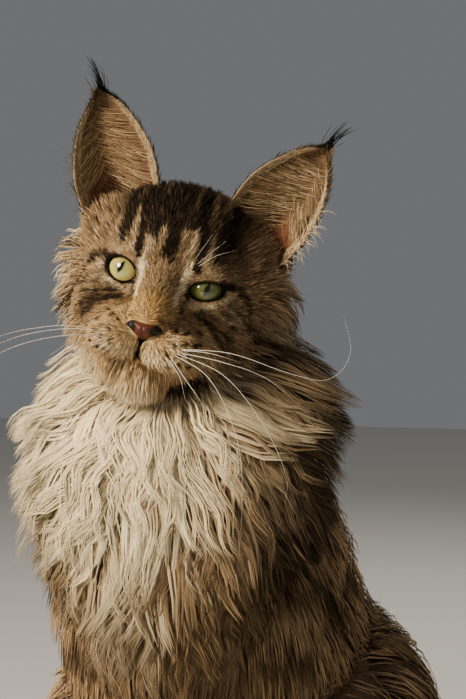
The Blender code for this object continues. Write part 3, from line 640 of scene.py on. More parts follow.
rims = []
holes = []
lidGrid = {"around": 56, "section": 10, "ride": 0.0005, "holeShare": 0.97, "front": -0.034, "back": -0.0045}
for side in (1, -1):
    # the lid's rim: a closed tube along the almond, which rides on the eyeball
    count, corners = lidGrid["around"], lidGrid["section"]
    x, z = eyeEdge(side, count)
    y = -np.sqrt(np.maximum((eye["radius"] + lidGrid["ride"]) ** 2 - x**2 - z**2, 1e-8))
    path = np.stack([x, y, z], -1)
    along = unit(np.roll(path, -1, 0) - np.roll(path, 1, 0))
    out = unit(path)
    aside = np.cross(along, out)[:, None]
    turn = circle(corners)[None, :, None]
    thick = eye["lid"] * (1 + 0.45 * ease(-0.2, 0.6, z / eye["open"][side][0]))[:, None, None]
    ring = path[:, None] + thick * (out[:, None] * np.cos(turn) + aside * np.sin(turn))
    i = np.arange(count)[:, None]
    j = np.arange(corners)[None, :]
    a, b = i * corners + j, i * corners + (j + 1) % corners
    c, d = (i + 1) % count * corners + (j + 1) % corners, (i + 1) % count * corners + j
    faces = cellFaces(a, b, c, d)
    points = fromHead(fromEye(ring.reshape(-1, 3), side))
    rims.append(meshFrom("rim", points, outward(points, faces)))
    # the opening between the lids, cut through the head's skin
    x, z = eyeEdge(side, count, lidGrid["holeShare"])
    front, back = lidGrid["front"], lidGrid["back"]
    depths = ((1.25, front), (1.0, -eye["radius"]), (1.0, back))
    points = np.vstack([np.stack([x * grow, np.full(count, y), z * grow], -1) for grow, y in depths])
    points = fromHead(fromEye(np.vstack([points, ((0, front, 0), (0, back, 0))]), side))
    holes.append(meshFrom("hole", points, outward(points, shellFaces(3, count))))
skin = solidUnion(body, [headPiece] + ears + rims)
skin = solidUnion(skin, holes, "DIFFERENCE")
soles = pointsOf(skin.data)
soles[:, 2] = np.maximum(soles[:, 2], bodyGrid["soleHeight"])  # the soles are flat on the floor
skin.data.vertices.foreach_set("co", soles.astype(np.float32).ravel())
skin.data.transform(Matrix.Translation(Vector(stance)))
skin.data.polygons.foreach_set("use_smooth", np.ones(len(skin.data.polygons), bool))
skinPoints = pointsOf(skin.data) - stance
skinTris = trianglesOf(skin.data)
print("cat: skin", len(skinPoints), "points", len(skinTris), "triangles")

# which part each point of the skin belongs to, by the nearest point of the forms that it was made from
seedPoints = np.vstack(seedPoints)
seedShares = np.vstack(seedShares)
seedParts = np.concatenate(seedParts)
finder = KDTree(len(seedPoints))
for k, p in enumerate(seedPoints.tolist()):
    finder.insert(p, k)
finder.balance()
nearest = np.array([finder.find(p)[1] for p in skinPoints.tolist()])
skinParts = seedParts[nearest]
partOf = {name: k for k, name in enumerate(partNames)}
skinTree = BVHTree.FromPolygons(skinPoints.tolist(), skinTris.tolist())
corners = skinPoints[skinTris]
cross = np.cross(corners[:, 1] - corners[:, 0], corners[:, 2] - corners[:, 0])
triArea = np.linalg.norm(cross, axis=-1) / 2
skinNormals = np.zeros_like(skinPoints)
for k in range(3):
    np.add.at(skinNormals, skinTris[:, k], cross)
skinNormals = unit(skinNormals)

print("cat: the markings")
tones = {  # screen colours of the coat
    "dark": (0.095, 0.070, 0.052),
    "root": (0.36, 0.30, 0.24),
    "buff": (0.64, 0.525, 0.385),
    "brown": (0.27, 0.21, 0.155),
    "warm": (0.76, 0.575, 0.32),
    "cream": (0.87, 0.775, 0.615),
    "white": (0.955, 0.875, 0.715),
    "pink": (0.45, 0.275, 0.195),
    "ear": (0.50, 0.39, 0.28),
    "rim": (0.055, 0.035, 0.030),
}
tones = {name: linearColour(*value) for name, value in tones.items()}


def onHead(stroke):
    # a stroke's points in mm put on the head: (x, z) from the front, (x, y, z) from the heart outwards
    placed = []
    for point in stroke:
        p = mm(point)
        start, way = (heart, unit(p - heart)) if len(p) == 3 else ((p[0], -0.15, p[1]), (0, 1, 0))
        hit = headTree.ray_cast(Vector(start), Vector(way))[0]
        if hit is not None:
            placed.append(np.array(hit))
    return np.array(placed)


darkStrokes = (  # points and half width in mm on the left side, strength; mirrored for the right side
    ([(14.6, 25), (15.2, 17), (14.6, 9.5)], 2.2, 1.0),  # bar over the inner end of the eye
    ([(0, 40), (-0.6, 27), (0.4, 19), (-0.4, 12)], 3.5, 1.0),  # middle of the forehead
    ([(8.0, 36), (7.4, 27)], 2.4, 0.95),
    ([(7.6, 23), (5.4, 15)], 0.7, 0.7),
    ([(20, 32), (22.5, 24), (24.5, 16)], 3.2, 1.0),
    ([(27, 27), (32, 18), (33, 12)], 2.0, 0.6),
    ([(38, 20), (40, 10)], 2.4, 0.5),
    ([(3.5, 0, 46), (5, 20, 44), (6, 38, 32)], 2.2, 0.95),  # lines that run back over the skull
    ([(11, 2, 44), (13, 22, 42), (15, 38, 30)], 1.8, 0.9),
    ([(19, 6, 42), (22, 24, 38), (24, 38, 26)], 1.8, 0.85),
    ([(28, 4.5), (34, 4.5), (40.0, -1), (43, -12)], 2.2, 1.0),  # from the eye's outer corner
    ([(43, -12), (44, 2, -20), (42, 16, -28)], 2.4, 0.9),
    ([(24, -12.5), (29, -14.5), (34, -19.0)], 4.6, 0.60),  # under the eye
    ([(22, -10.5), (29, -12.5), (38, -15.5)], 1.2, 0.95),
    ([(22, -13.5), (29, -16.5), (37, -22.0)], 1.5, 0.95),
    ([(26, -9.0), (35, -9.5), (41, -13.0)], 1.0, 0.75),
    ([(31, -22), (38, -25), (42, -30)], 1.4, 0.6),
    ([(31, -3), (36, -6), (40, -11)], 1.5, 0.7),
    ([(20, -13), (28, -18), (36, -27)], 2.0, 0.9),
    ([(30, -6), (36, -12)], 1.2, 0.6),
    ([(13.6, -4.5), (12.4, -10), (10.8, -14)], 1.6, 0.95),  # tear line
    ([(4.0, -18.2), (7.0, -18.4), (10.0, -20.5)], 0.8, 0.75),  # over the nostrils
    ([(11, -20), (13, -15), (14, -10)], 1.2, 0.45),
    ([(40, 12), (46, 8, 2), (48, 20, -4)], 2.0, 0.7),
)
creamStrokes = (
    ([(12.6, 9.5), (10.6, 0), (8.4, -9)], 2.4, 1.0),  # beside the bridge of the nose
    ([(14.5, -9.5), (20, -9.8), (26, -7.0)], 1.5, 0.75),
    ([(13, 9.5), (19, 11.3), (26, 8.5)], 1.2, 0.25),
    ([(9.6, 12), (10.0, 25)], 1.4, 0.5),
    ([(5.6, 13), (5.0, 24)], 0.8, 0.3),
    ([(18.5, 12), (18.5, 22)], 1.3, 0.4),
    ([(34, -4), (38, -12)], 1.6, 0.4),
    ([(5, -34), (11, -35), (17, -33)], 3.5, 0.62),
)
strokeSets = {"dark": [], "cream": []}
for kind, strokes in (("dark", darkStrokes), ("cream", creamStrokes)):
    for stroke, width, strength in strokes:
        for side in (1, -1):
            line = onHead([(point[0] * side,) + point[1:] for point in stroke])
            if len(line) > 1:
                strokeSets[kind].append((line, width / 1000, strength))


def strokeMask(q, kind, soft=0.0011):
    # the strongest of the strokes at each point: strength * (1 - eased distance past the half width)
    ragged = wander(q, 0.006, 5) * 0.0010 + wander(q, 0.0022, 6) * 0.0008
    best = np.zeros(len(q))
    for line, width, strength in strokeSets[kind]:
        d = nearLine(q, line) + ragged
        best = np.maximum(best, strength * ease(width + soft, width - soft, d))
    return best


def headMarks(q):
    # dark, cream and warm shares on the head, from its own coordinates in metres
    x, y, z = q.T
    aside = np.abs(x)
    faceFront = y < -0.02
    lines = strokeMask(q, "dark")
    dark = lines
    cream = strokeMask(q, "cream") * (1 - 0.6 * dark)
    # crown, nape and the pale mane behind the cheeks, streaked from front to back
    streak = wander(q * (1, 0.15, 0.15), 0.0062, 8)
    high = z + 0.0035 * streak + 0.0030 * wander(q, 0.012, 14)
    crown = ease(0.021, 0.027, high + 0.12 * aside) * ease(0.040, 0.024, aside + 0.003 * streak)
    crown = np.maximum(crown * (1.0 + 0.40 * streak), ease(0.027, 0.036, z) * (0.75 + 0.40 * streak))
    nape = ease(0.020, 0.045, y) * (0.45 + 0.45 * wander(q * (1, 0.15, 0.15), 0.012, 9))
    nape = nape * ease(0.040, 0.026, aside) * ease(-0.022, 0.000, z)
    mane = ease(0.000, 0.012, y) * ease(0.030, 0.010, y + 0.004 * streak)
    mane = mane * ease(0.026, 0.038, aside) * ease(0.034, 0.022, z)
    cream = np.maximum(cream, mane * np.where(x < 0, 0.75, 0.30) * (1 - lines))
    dark = np.maximum(dark, np.clip(np.maximum(crown, nape), 0, 1))
    # the darker brow over the left eye, partly the coat's own marking and partly painted shade on the side
    # turned away from the light
    shade = hump(x - 0.0205, 0.0062, z - 0.0185, 0.0070) * 0.85
    shade = shade + hump(x - 0.032, 0.008, z - 0.013, 0.009) * 0.4
    shade = shade + hump(x - 0.0265, 0.006, z - 0.0215, 0.008) * 0.6
    dark = np.maximum(dark, np.clip(shade * (1 + 0.5 * wander(q * (1, 0.3, 0.3), 0.005, 17)), 0, 1))
    # bridge of the nose, whisker pads and chin
    bridge = hump(x, 0.0085) * ease(-0.002, -0.014, z) * faceFront
    pads = hump(np.maximum(aside - 0.020, 0), 0.009, z + 0.0300, 0.0115) * ease(-0.014, -0.030, y)
    low = ease(-0.004, -0.014, z) * ease(-0.030, -0.020, z) * hump(x, 0.012) * faceFront
    warm = np.clip(bridge * 0.30 + low * 0.65 + pads, 0, 1)
    cream = np.maximum(cream, pads * (0.36 + 0.16 * wander(q, 0.006, 15)))
    for row in range(4):  # rows of dark points where the whiskers grow
        for k in range(3):
            at = (0.0128 + 0.0043 * k + 0.0016 * (row % 2), -0.0232 - 0.0042 * row + 0.0008 * k)
            d = np.hypot((aside - at[0]) * 0.8, z - at[1] + 0.0006 * np.sin(900 * x))
            dark = np.maximum(dark, ease(0.00145, 0.00075, d) * faceFront * 0.95)
    chin = ease(-0.038, -0.046, z) * ease(0.018, 0.006, aside) * (y < -0.005)
    cream = np.maximum(cream, chin * (0.72 + 0.3 * wander(q, 0.004, 16)))
    # lips, their parting, and the jaw's underside; the dark lips and the line under the nose are partly the
    # skin's own dark edge and partly painted shade in the crease; the metre added takes the lines off the
    # back of the head
    behind = 1.0 * (y > -0.03)
    lips = lipDistance(q, lipLine, frontLine) + behind
    dark = np.maximum(dark, ease(0.0018, 0.0009, lips) * (0.45 + 0.5 * ease(0.012, 0.004, aside)))
    dark = np.maximum(dark, ease(0.0029, 0.0016, frontLine(q, cleft) + behind))
    under = ease(-0.030, -0.044, z) * ease(-0.040, -0.020, y) * ease(0.006, 0.016, aside)
    cream = np.maximum(cream, under * np.where(x < 0, 0.85, 0.5))
    for side in (1, -1):  # pale ring round each eye, dark edge of the lids
        e = toEye(q, side)
        size = eyeSize(e, side)
        ring = ease(2.0, 1.5, size) * ease(1.10, 1.35, size) * (e[:, 1] < 0) * ease(0.002, -0.004, e[:, 2])
        cream = np.maximum(cream, ring * 0.34)
        corner = 0.05 * ease(0.3, 1.0, e[:, 0] * side / eye["halfWidth"])
        dark = np.maximum(dark, ease(1.19 + corner, 1.09 + corner, size) * (e[:, 1] < 0))
    return dark, cream, warm


def isPart(part, *starts):
    # true where the part's name begins with one of the given words
    return np.isin(part, [k for k, name in enumerate(partNames) if name.startswith(starts)])


def bodyMarks(p, part):
    # dark, cream and warm shares on the body, from the cat's coordinates in metres
    x, y, z = p.T
    aside = np.abs(x)
    neck = isPart(part, "neck")
    leg = isPart(part, "foreleg")
    foot = isPart(part, "forepaw", "hind")
    rough = wander(p, 0.05, 21)
    # bib: wide under the jaw, narrow on the breast, ragged at its edges, and narrower on the left side:
    # partly the coat's own marking and partly painted shade on the side turned away from the light
    half = 0.014 + 0.046 * ease(0.232, 0.335, z)
    lean = np.where(x > 0, 2.3, 0.95)
    ragged = np.abs(x + 0.004) * lean + rough * 0.006 + wander(p, 0.016, 22) * 0.004
    bib = ease(half * 1.45, half * 0.75, ragged) * ease(-0.055, -0.090, y + rough * 0.006)
    bib = bib * ease(0.195, 0.300, z + 0.012 * wander(p, 0.022, 26))
    cream = bib * isPart(part, "neck", "torso", "foreleg") * (0.86 + 0.14 * wander(p, 0.022, 23))
    collar = neck * ease(0.245, 0.300, z + 0.010 * rough) * ease(-0.030, -0.068, y + 0.010 * rough)
    # the collar's cream fades on the left side and grows on the right: partly the coat's own colour and
    # partly painted shade and light
    fading = 1 - 0.85 * ease(0.0, 0.036, x) + 0.40 * ease(0.005, 0.040, -x)
    cream = np.maximum(cream, np.clip(collar * (0.44 + 0.20 * wander(p, 0.03, 24)) * fading, 0, 1))
    # flank: broken bands across the side, a dark line along the back
    band = np.sin((y * 0.75 - z * 0.55) * 2 * math.pi / 0.044 + 1.4 * wander(p, 0.11, 31) + 0.6)
    bands = ease(0.0, 0.75, band) * 0.85
    spine = ease(0.030, 0.012, aside) * np.where(neck, ease(-0.05, -0.025, y), ease(-0.02, 0.03, y))
    bands = bands * np.where(neck, 0.12 + 0.6 * ease(-0.08, -0.03, y), 1.0)
    bands = bands * (1 - 0.5 * ease(0.27, 0.31, z))
    trunk = isPart(part, "torso", "neck", "haunch")
    dark = np.maximum(bands, spine * 0.95) * trunk * (1 - 0.96 * ease(0.1, 0.6, cream))
    warm = ease(0.11, 0.07, z) * ease(0.05, 0.02, aside) * isPart(part, "torso") * 0.5
    # legs: rings, with buff feet
    ring = ease(0.15, 0.8, np.sin(z * 2 * math.pi / 0.036 + 0.5 * rough + 0.8)) * 0.85
    dark = np.maximum(dark, ring * leg * (1 - 0.9 * cream))
    warm = np.maximum(warm, ease(0.12, 0.05, z) * leg * 0.55)
    warm = np.maximum(warm, foot * 0.30)
    cream = np.maximum(cream, foot * 0.16)
    speckle = ease(0.0, 0.8, wander(p, 0.011, 25)) * 0.45
    for paw in paws.values():  # dark lines between the toes
        at, wide = paw["at"], paw["width"]
        across = (aside - at[0]) / (wide * pawFlesh[0] * toeSpread / 1.5)
        gap = hump(across - 2 * np.clip(np.round(across / 2), -1, 1), 0.28)
        ahead = ease(at[1] - 0.010, at[1] - 0.018, y) * (np.abs(aside - at[0]) < wide * 0.5)
        speckle = np.maximum(speckle, gap * ahead * 0.8)
    return np.maximum(dark, foot * speckle), cream, warm


def tailMarks(along):
    # rings along the tail and a dark end
    ring = ease(-0.1, 0.6, np.sin(along * 2 * math.pi * 7.0 + 1.0)) * 0.85
    return np.maximum(ring, ease(0.74, 0.82, along) * 0.88)


def coatShares(p, part, along):
    # dark, cream and warm at each point: the head's formulas on the head, the body's and tail's elsewhere
    dark, cream, warm = bodyMarks(p, part)
    dark = np.where(isPart(part, "tail"), tailMarks(along), dark)
    onIt = isPart(part, "head", "ear")
    if onIt.any():
        dark[onIt], cream[onIt], warm[onIt] = headMarks(toHead(p[onIt]))
    return dark, cream, warm


def mixTone(base, tone, amount):
    # base + (tone - base) * amount, for each point
    return base + (tone - base) * np.clip(amount, 0, 1)[..., None]


def coatTone(dark, cream, warm, s, tick=0.75):
    # a hair's colour at share s of its length: grey root, buff band, brown tip, turned to the marks' tones
    base = mixTone(tones["root"], tones["buff"], ease(0.1, 0.5, s))
    base = mixTone(base, tones["brown"], ease(0.55, 0.95, s) * tick)
    base = mixTone(base, tones["warm"], warm * 0.8)
    base = mixTone(base, mixTone(tones["cream"], tones["white"], ease(0.2, 0.8, s)), cream)
    return mixTone(base, tones["dark"], dark * (0.45 + 0.55 * ease(0.0, 0.35, s)))


def paint(piece, tone):
    # the colour attribute that the coat's materials read
    layer = piece.data.attributes.new("coat", "FLOAT_COLOR", "POINT")
    layer.data.foreach_set("color", np.hstack([tone, np.ones((len(tone), 1))]).astype(np.float32).ravel())


def bakeMap(piece, corners):
    # the UV map that the looks are baked on, a place for each corner of each face
    uv = piece.data.uv_layers.new(name="OFBake")
    uv.data.foreach_set("uv", corners.astype(np.float32).ravel())


nearShares = seedShares[nearest]
dark, cream, warm = coatShares(skinPoints, skinParts, nearShares[:, 1])
# the skin is painted a quarter darker: painted shade between the hairs
skinTone = coatTone(dark, cream, warm, 0.35) * 0.75
for label in sideName.values():
    inside = skinParts == partOf["earFront" + label]
    q = nearShares[inside]
    edge = np.abs(q[:, 0] * 2 - 1)
    tone = mixTone(tones["pink"], tones["ear"] * 0.8, ease(0.22, 0.50, q[:, 1]))
    tone = tone * (1 - 0.5 * ease(0.5, 0.92, q[:, 1]))[:, None]
    skinTone[inside] = mixTone(tone, tones["buff"], ease(0.70, 0.92, edge) * 0.9)
    outside = skinParts == partOf["earBack" + label]
    edge = np.abs(nearShares[outside][:, 0] * 2 - 1)
    tone = mixTone(skinTone[outside], tones["brown"], np.full(outside.sum(), 0.7))
    skinTone[outside] = mixTone(tone, tones["buff"], ease(0.80, 0.93, edge))
headLocal = toHead(skinPoints)
for side in (1, -1):
    e = toEye(headLocal, side)
    lid = ease(1.24, 1.12, eyeSize(e, side)) * (e[:, 1] < 0) * (skinParts == partOf["head"])
    skinTone = mixTone(skinTone, tones["rim"], lid)
paint(skin, skinTone)


def newMaterial(name, values):
    # a material with the given values of its shader, and two short ways to add a node and a link
    material = bpy.data.materials.new(name)
    material.use_nodes = True
    tree = material.node_tree
    shader = tree.nodes["Principled BSDF"]
    for key, value in values.items():
        shader.inputs[key].default_value = value

    def add(kind, **inputs):
        node = tree.nodes.new("ShaderNode" + kind)
        for key, value in inputs.items():
            node.inputs[key.replace("_", " ")].default_value = value
        return node

    return material, shader, add, tree.links.new


def coatMaterial(name, roughness, specular=0.06, bumpSize=0.0, streaks=0.0):
    # the mesh's own colour, with a fine mottle, and streaks along the tufts from their UV map
    values = {"Roughness": roughness, "Specular IOR Level": specular}
    material, shader, add, link = newMaterial(name, values)
    colour = add("Attribute")
    colour.attribute_name = "coat"
    place = add("TexCoord")
    grain = add("TexNoise", Scale=900.0, Detail=2.0)
    link(place.outputs["Object"], grain.inputs["Vector"])
    spread = add("MapRange", To_Min=0.82, To_Max=1.18)
    link(grain.outputs["Fac"], spread.inputs["Value"])
    mottle = add("VectorMath")
    mottle.operation = "SCALE"
    link(colour.outputs["Color"], mottle.inputs[0])
    link(spread.outputs["Result"], mottle.inputs["Scale"])
    if streaks:
        own = add("UVMap")
        own.uv_map = "OFBake"
        stretch = add("VectorMath")
        stretch.operation = "MULTIPLY"
        stretch.inputs[1].default_value = (1900.0, 420.0, 1.0)  # many streaks across a tuft, few along it
        link(own.outputs["UV"], stretch.inputs[0])
        lines = add("TexNoise", Scale=1.0, Detail=1.0)
        link(stretch.outputs["Vector"], lines.inputs["Vector"])
        span = add("MapRange", From_Min=0.3, From_Max=0.7, To_Min=1.0 - streaks, To_Max=1.0 + streaks)
        link(lines.outputs["Fac"], span.inputs["Value"])
        combed = add("VectorMath")
        combed.operation = "SCALE"
        link(mottle.outputs["Vector"], combed.inputs[0])
        link(span.outputs["Result"], combed.inputs["Scale"])
        mottle = combed
    link(mottle.outputs["Vector"], shader.inputs["Base Color"])
    if bumpSize:
        bump = add("Bump", Strength=0.5, Distance=bumpSize)
        link(grain.outputs["Fac"], bump.inputs["Height"])
        link(bump.outputs["Normal"], shader.inputs["Normal"])
    return material


skin.data.materials.clear()
skin.data.materials.append(coatMaterial("undercoat", 0.80, bumpSize=0.0008))
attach(skin, "root")
fleshNodes = [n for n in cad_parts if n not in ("eye_left", "eye_right", "nose")]
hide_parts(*fleshNodes)

print("cat: eyes and nose")
eyeLook = {  # screen colours, and sizes in metres and degrees, left eye 1, right eye -1
    "irisRadius": 0.0088,
    "pupilWide": {1: 0.00130, -1: 0.00112},
    "pupilTall": 0.0036,
    "pupilTurn": {1: 24.0, -1: 4.0},
    # the left eye's iris colours are darker than the right's as painted shade, and browShade is a painted
    # shadow of the upper lid on each iris
    "inner": {1: (0.30, 0.33, 0.17), -1: (0.60, 0.60, 0.34)},
    "outer": {1: (0.45, 0.45, 0.23), -1: (0.78, 0.70, 0.38)},
    "browShade": {1: 0.75, -1: 0.35},
}


def eyeMaterial(side):
    # wet and clear in front: the colour is the ball's own attribute
    values = {"Roughness": 0.12, "Coat Weight": 1.0, "Coat Roughness": 0.02, "Specular IOR Level": 0.5}
    material, shader, add, link = newMaterial("iris" + sideName[side], values)
    colour = add("Attribute")
    colour.attribute_name = "coat"
    link(colour.outputs["Color"], shader.inputs["Base Color"])
    return material


def makeEye(side):
    # a ball with the clear front's bulge: radius + bulge * exp(-(distance from the axis / 0.006)^2)
    rows, around = 90, 128
    ways = frontWays(rows, around, 1.35)
    off = np.linalg.norm(ways[:, (0, 2)], axis=-1) * eye["radius"]
    rise = eye["bulge"] * hump(off, 0.006) * (ways[:, 1] < 0)
    points = ways * (eye["radius"] - 0.0001 + rise)[:, None]
    # the iris: colour by the distance from the pupil, fine fibres outwards, a dark edge, a slit pupil
    x, y, z = points.T
    r = np.hypot(x, z) / eyeLook["irisRadius"]
    angle = np.arctan2(z, x)
    fibres = 0.5 + 0.5 * np.sin(angle * 46 + 3 * np.sin(angle * 7) + r * 3) * np.sin(angle * 29 + 1.3)
    inner, outer = linearColour(*eyeLook["inner"][side]), linearColour(*eyeLook["outer"][side])
    tone = mixTone(inner, outer, ease(0.15, 0.85, r))
    tone = tone * (0.86 + 0.28 * fibres * ease(0.1, 0.4, r))[:, None]
    tone = mixTone(tone, linearColour(0.30, 0.27, 0.10), ease(0.80, 0.99, r) * 0.8)
    tone = mixTone(tone, linearColour(0.05, 0.035, 0.025), ease(0.97, 1.04, r))
    tone = tone * (1 - ease(0.0010, 0.0052, z - 0.1 * np.abs(x)) * eyeLook["browShade"][side])[:, None]
    lean = math.radians(eyeLook["pupilTurn"][side])
    across = x * math.cos(lean) - z * math.sin(lean)
    up = x * math.sin(lean) + z * math.cos(lean) - 0.0006
    slit = np.abs(across) / eyeLook["pupilWide"][side] + (np.abs(up) / eyeLook["pupilTall"]) ** 2
    tone = mixTone(tone, linearColour(0.30, 0.33, 0.12), ease(1.9, 1.1, slit) * 0.5)
    tone = mixTone(tone, linearColour(0.008, 0.008, 0.008), ease(1.12, 0.92, slit))
    tone = np.where((y > 0)[:, None], linearColour(0.25, 0.18, 0.15), tone)
    points = fromHead(fromEye(points, side)) + stance
    piece = meshFrom("eye" + sideName[side], points, outward(points, shellFaces(rows, around)))
    paint(piece, tone)
    piece.data.materials.append(eyeMaterial(side))
    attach(piece, "root")
    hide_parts("eye_left" if side > 0 else "eye_right")


makeEye(1)
makeEye(-1)

nose = {
    "at": (-0.0002, -0.0565, -0.0230),
    "wide": 0.0092,
    "top": 0.0036,
    "low": 0.0062,
    "deep": 0.0050,
    "leather": (0.34, 0.155, 0.10),
}


def makeNose():
    # a rounded triangle seen from the front: a crowned face with two comma-shaped nostrils and a groove
    rows, around = 40, 96
    r = np.linspace(0, 1, rows + 1)[1:]
    c, s = np.cos(circle(around)), np.sin(circle(around))
    px = np.outer(r, nose["wide"] * c * np.where(s > 0, 1.0, 1 - 0.76 * np.abs(s) ** 0.95))
    pz = np.outer(r, np.where(s > 0, nose["top"] * s, nose["low"] * s))
    py = (-nose["deep"] * np.sqrt(np.maximum(1 - r**2.6, 0)))[:, None]
    out = np.abs(px) - 0.0058
    nostril = hump(out, 0.0026, pz + 0.0002 - 0.15 * out, 0.0018)
    comma = hump(np.abs(px) - 0.0078, 0.0018, pz - 0.0012, 0.0012) * 0.8
    groove = hump(px, 0.0007) * ease(0.0025, -0.002, pz)
    py = py + 0.0030 * nostril + 0.0016 * comma + 0.0008 * groove
    py = py + 0.0022 * ease(0.0, 0.0048, pz) + 0.0030 * ease(0.0, -0.0050, pz)
    ring = np.stack([px, py, pz], -1).reshape(-1, 3)
    points = fromHead(np.vstack([ring, (0.0, -nose["deep"], 0.0), (0.0, 0.0060, 0.0)]) + nose["at"]) + stance
    piece = meshFrom("noseLeather", points, outward(points, shellFaces(rows, around)))
    # brown leather with a dark edge of its own, and painted shade in the nostrils and the groove
    x, y, z = ring.T
    sides = ease(0.0036, 0.0056, np.abs(x) + 0.45 * np.maximum(-z, 0))
    edge = np.maximum.reduce([sides, ease(0.0020, 0.0034, z) * 0.85, ease(-0.0042, -0.0060, z) * 0.9])
    leather = linearColour(*nose["leather"])
    tone = leather * np.exp(0.16 * wander(ring, 0.0022, 12) + 0.10 * wander(ring, 0.0008, 13))[:, None]
    tone = mixTone(tone, linearColour(0.085, 0.052, 0.042), edge)
    # painted shade in the nostrils and down the groove
    hollow = np.maximum(nostril, comma).ravel()
    tone = mixTone(tone, linearColour(0.05, 0.03, 0.028), ease(0.25, 0.6, hollow))
    tone = mixTone(tone, linearColour(0.20, 0.10, 0.08), groove.ravel() * 0.8)
    paint(piece, np.vstack([tone, leather, (0.02, 0.01, 0.01)]))
    piece.data.materials.append(coatMaterial("noseLeather", 0.50, 0.35, 0.00030))
    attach(piece, "root")
    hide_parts("nose")


makeNose()


def scatter(parts, count, seed, density=None):
    # roots spread over the skin of the named parts, as many to each triangle as its area and the density ask
    rng = np.random.default_rng(seed)
    wanted = [partOf[n] for n in parts]
    belongs = np.isin(skinParts[skinTris], wanted).sum(1) >= 2
    weight = triArea * belongs
    if density is not None:
        weight = weight * density(skinPoints[skinTris].mean(1))
    pick = rng.choice(len(skinTris), int(count * share), p=weight / weight.sum())
    a, b = rng.random(len(pick)), rng.random(len(pick))
    flip = a + b > 1
    a, b = np.where(flip, 1 - a, a), np.where(flip, 1 - b, b)
    tri = skinTris[pick]
    mix = np.stack([1 - a - b, a, b], -1)[..., None]
    root = np.sum(skinPoints[tri] * mix, 1)
    normal = unit(np.sum(skinNormals[tri] * mix, 1))
    found = np.array([finder.find(p)[1] for p in root.tolist()])
    return root, normal, seedParts[found], seedShares[found], rng


def lieAt(p):
    # the way the body's hair lies, the mean of the listed ways weighted by 1 / distance^4
    places = mm([place for place, way in coatLie])
    ways = unit(np.array([way for place, way in coatLie], float))
    places, ways = (np.vstack([v, v * (-1, 1, 1)]) for v in (places, ways))
    w = 1 / (((p[:, None] - places[None]) ** 2).sum(-1) + 1e-5) ** 2
    return unit((w[..., None] * ways).sum(1) / w.sum(1, keepdims=True))


tailRun = through(mm(lofts["tail"][0]), 200)[:, :3]
tailWay = unit(np.gradient(tailRun, axis=0))


def tailLie(p):
    # the tail's direction and the share of its length at the nearest place of its middle line
    nearest = np.argmin(((p[:, None] - tailRun[None]) ** 2).sum(-1), 1)
    return tailWay[nearest], nearest / 199


def headLie(p):
    # away from the nose over the face and down the back of the head, in the cat's coordinates
    q = toHead(p)
    y, z = q[:, 1:2], q[:, 2:3]
    aside, outwards = np.abs(q[:, :1]), np.sign(q[:, :1])
    way = unit(q - np.array((0.0, -0.062, -0.020)))
    cheek = ease(0.018, 0.040, aside) * ease(0.01, -0.02, z)
    way = way + cheek * np.array((0, 0.75, -0.60)) + ease(0.0, 0.040, y) * np.array((0, 0.6, -1.2))
    mane = ease(-0.005, 0.015, y) * ease(0.045, 0.030, y) * ease(0.030, 0.010, z)
    way = way + mane * outwards * np.array((1.1, 0, 0))
    way = way + ease(-0.036, -0.046, z) * np.array((0, 0.2, -1.1))
    temple = ease(0.026, 0.040, aside) * ease(-0.004, 0.014, z) * ease(0.034, 0.016, y)
    way = way + temple * (outwards * np.array((0.5, 0, 0)) + np.array((0, 0.2, 0.5)))
    return unit(way) @ headTurn.T


def near(p):
    # the nearest point of the skin, its normal, and the height over it
    q, n = np.array([skinTree.find_nearest(v)[:2] for v in p.tolist()]).transpose(1, 0, 2)
    return q, n, np.sum((p - q) * n, -1)


def grow(root, normal, length, lift, steps, lieOf, rise=0.7, sunk=0.0006, droop=0.0):
    # each step follows the lie with a rise that fades, and keeps over the skin by lift * (1 - (1 - s)^2)
    p = root - normal * sunk
    path = [p]
    for k in range(1, steps + 1):
        s = k / steps
        lie = lieOf(p) + np.array((0, 0, -droop * s))
        if k == 1:
            lie = unit(lie - dot(lie, normal) * normal * (1 - 0.6 * s))
            way = unit(lie + normal * rise * (1 - s) ** 1.5)
        else:
            way = unit(way * 0.35 + lie + normal * rise * (1 - s) ** 2 * 0.6)
        p = p + way * (length / steps)[:, None]
        q, n, height = near(p)
        want = lift * (1 - (1 - s) ** 2)
        p = np.where((height < want)[:, None], q + n * want[:, None], p)
        path.append(p)
    return np.stack(path, 1)


def clumped(path, root, every, amount, rng, power=1.4):
    # strands drawn to the nearest of a few leaders, more towards their tips
    leaders = rng.choice(len(root), max(int(len(root) / every), 2), replace=False)
    tree = KDTree(len(leaders))
    for k, index in enumerate(leaders):
        tree.insert(root[index], k)
    tree.balance()
    mine = leaders[np.array([tree.find(v)[1] for v in root.tolist()])]
    offset = (root - root[mine])[:, None]
    return path + (path[mine] + offset * 0.25 - path) * upTo(path.shape[1]) ** power * amount, mine


def wave(path, normal, size, length, phase):
    # a side to side and in and out wave that grows from the root
    side = unit(np.cross(unit(np.gradient(path, axis=1)), normal[:, None]))
    run = np.cumsum(np.linalg.norm(np.diff(path, axis=1, prepend=path[:, :1]), axis=-1), axis=1)
    angle = 2 * np.pi * run / length + phase[:, None]
    grown = np.linspace(0, 1, path.shape[1])[None, :] ** 0.7
    a = (np.sin(angle) - np.sin(phase)[:, None]) * size * grown
    b = (np.cos(angle * 0.8) - np.cos(phase)[:, None]) * size * 0.45 * grown
    return path + side * a[..., None] + normal[:, None] * b[..., None]


def shaken(path, size, rng):
    # each strand's points moved at random, more towards its tip
    return path + rng.normal(0, 1, path.shape) * size * upTo(path.shape[1])


def lighter(vary, count, rng):
    # a random lightness for each strand
    return np.exp(rng.normal(0, vary, count))[:, None, None]


def overFloor(path, low=0.0010):
    # nothing reaches under the floor
    path[..., 2] = np.maximum(path[..., 2], low)
    return path


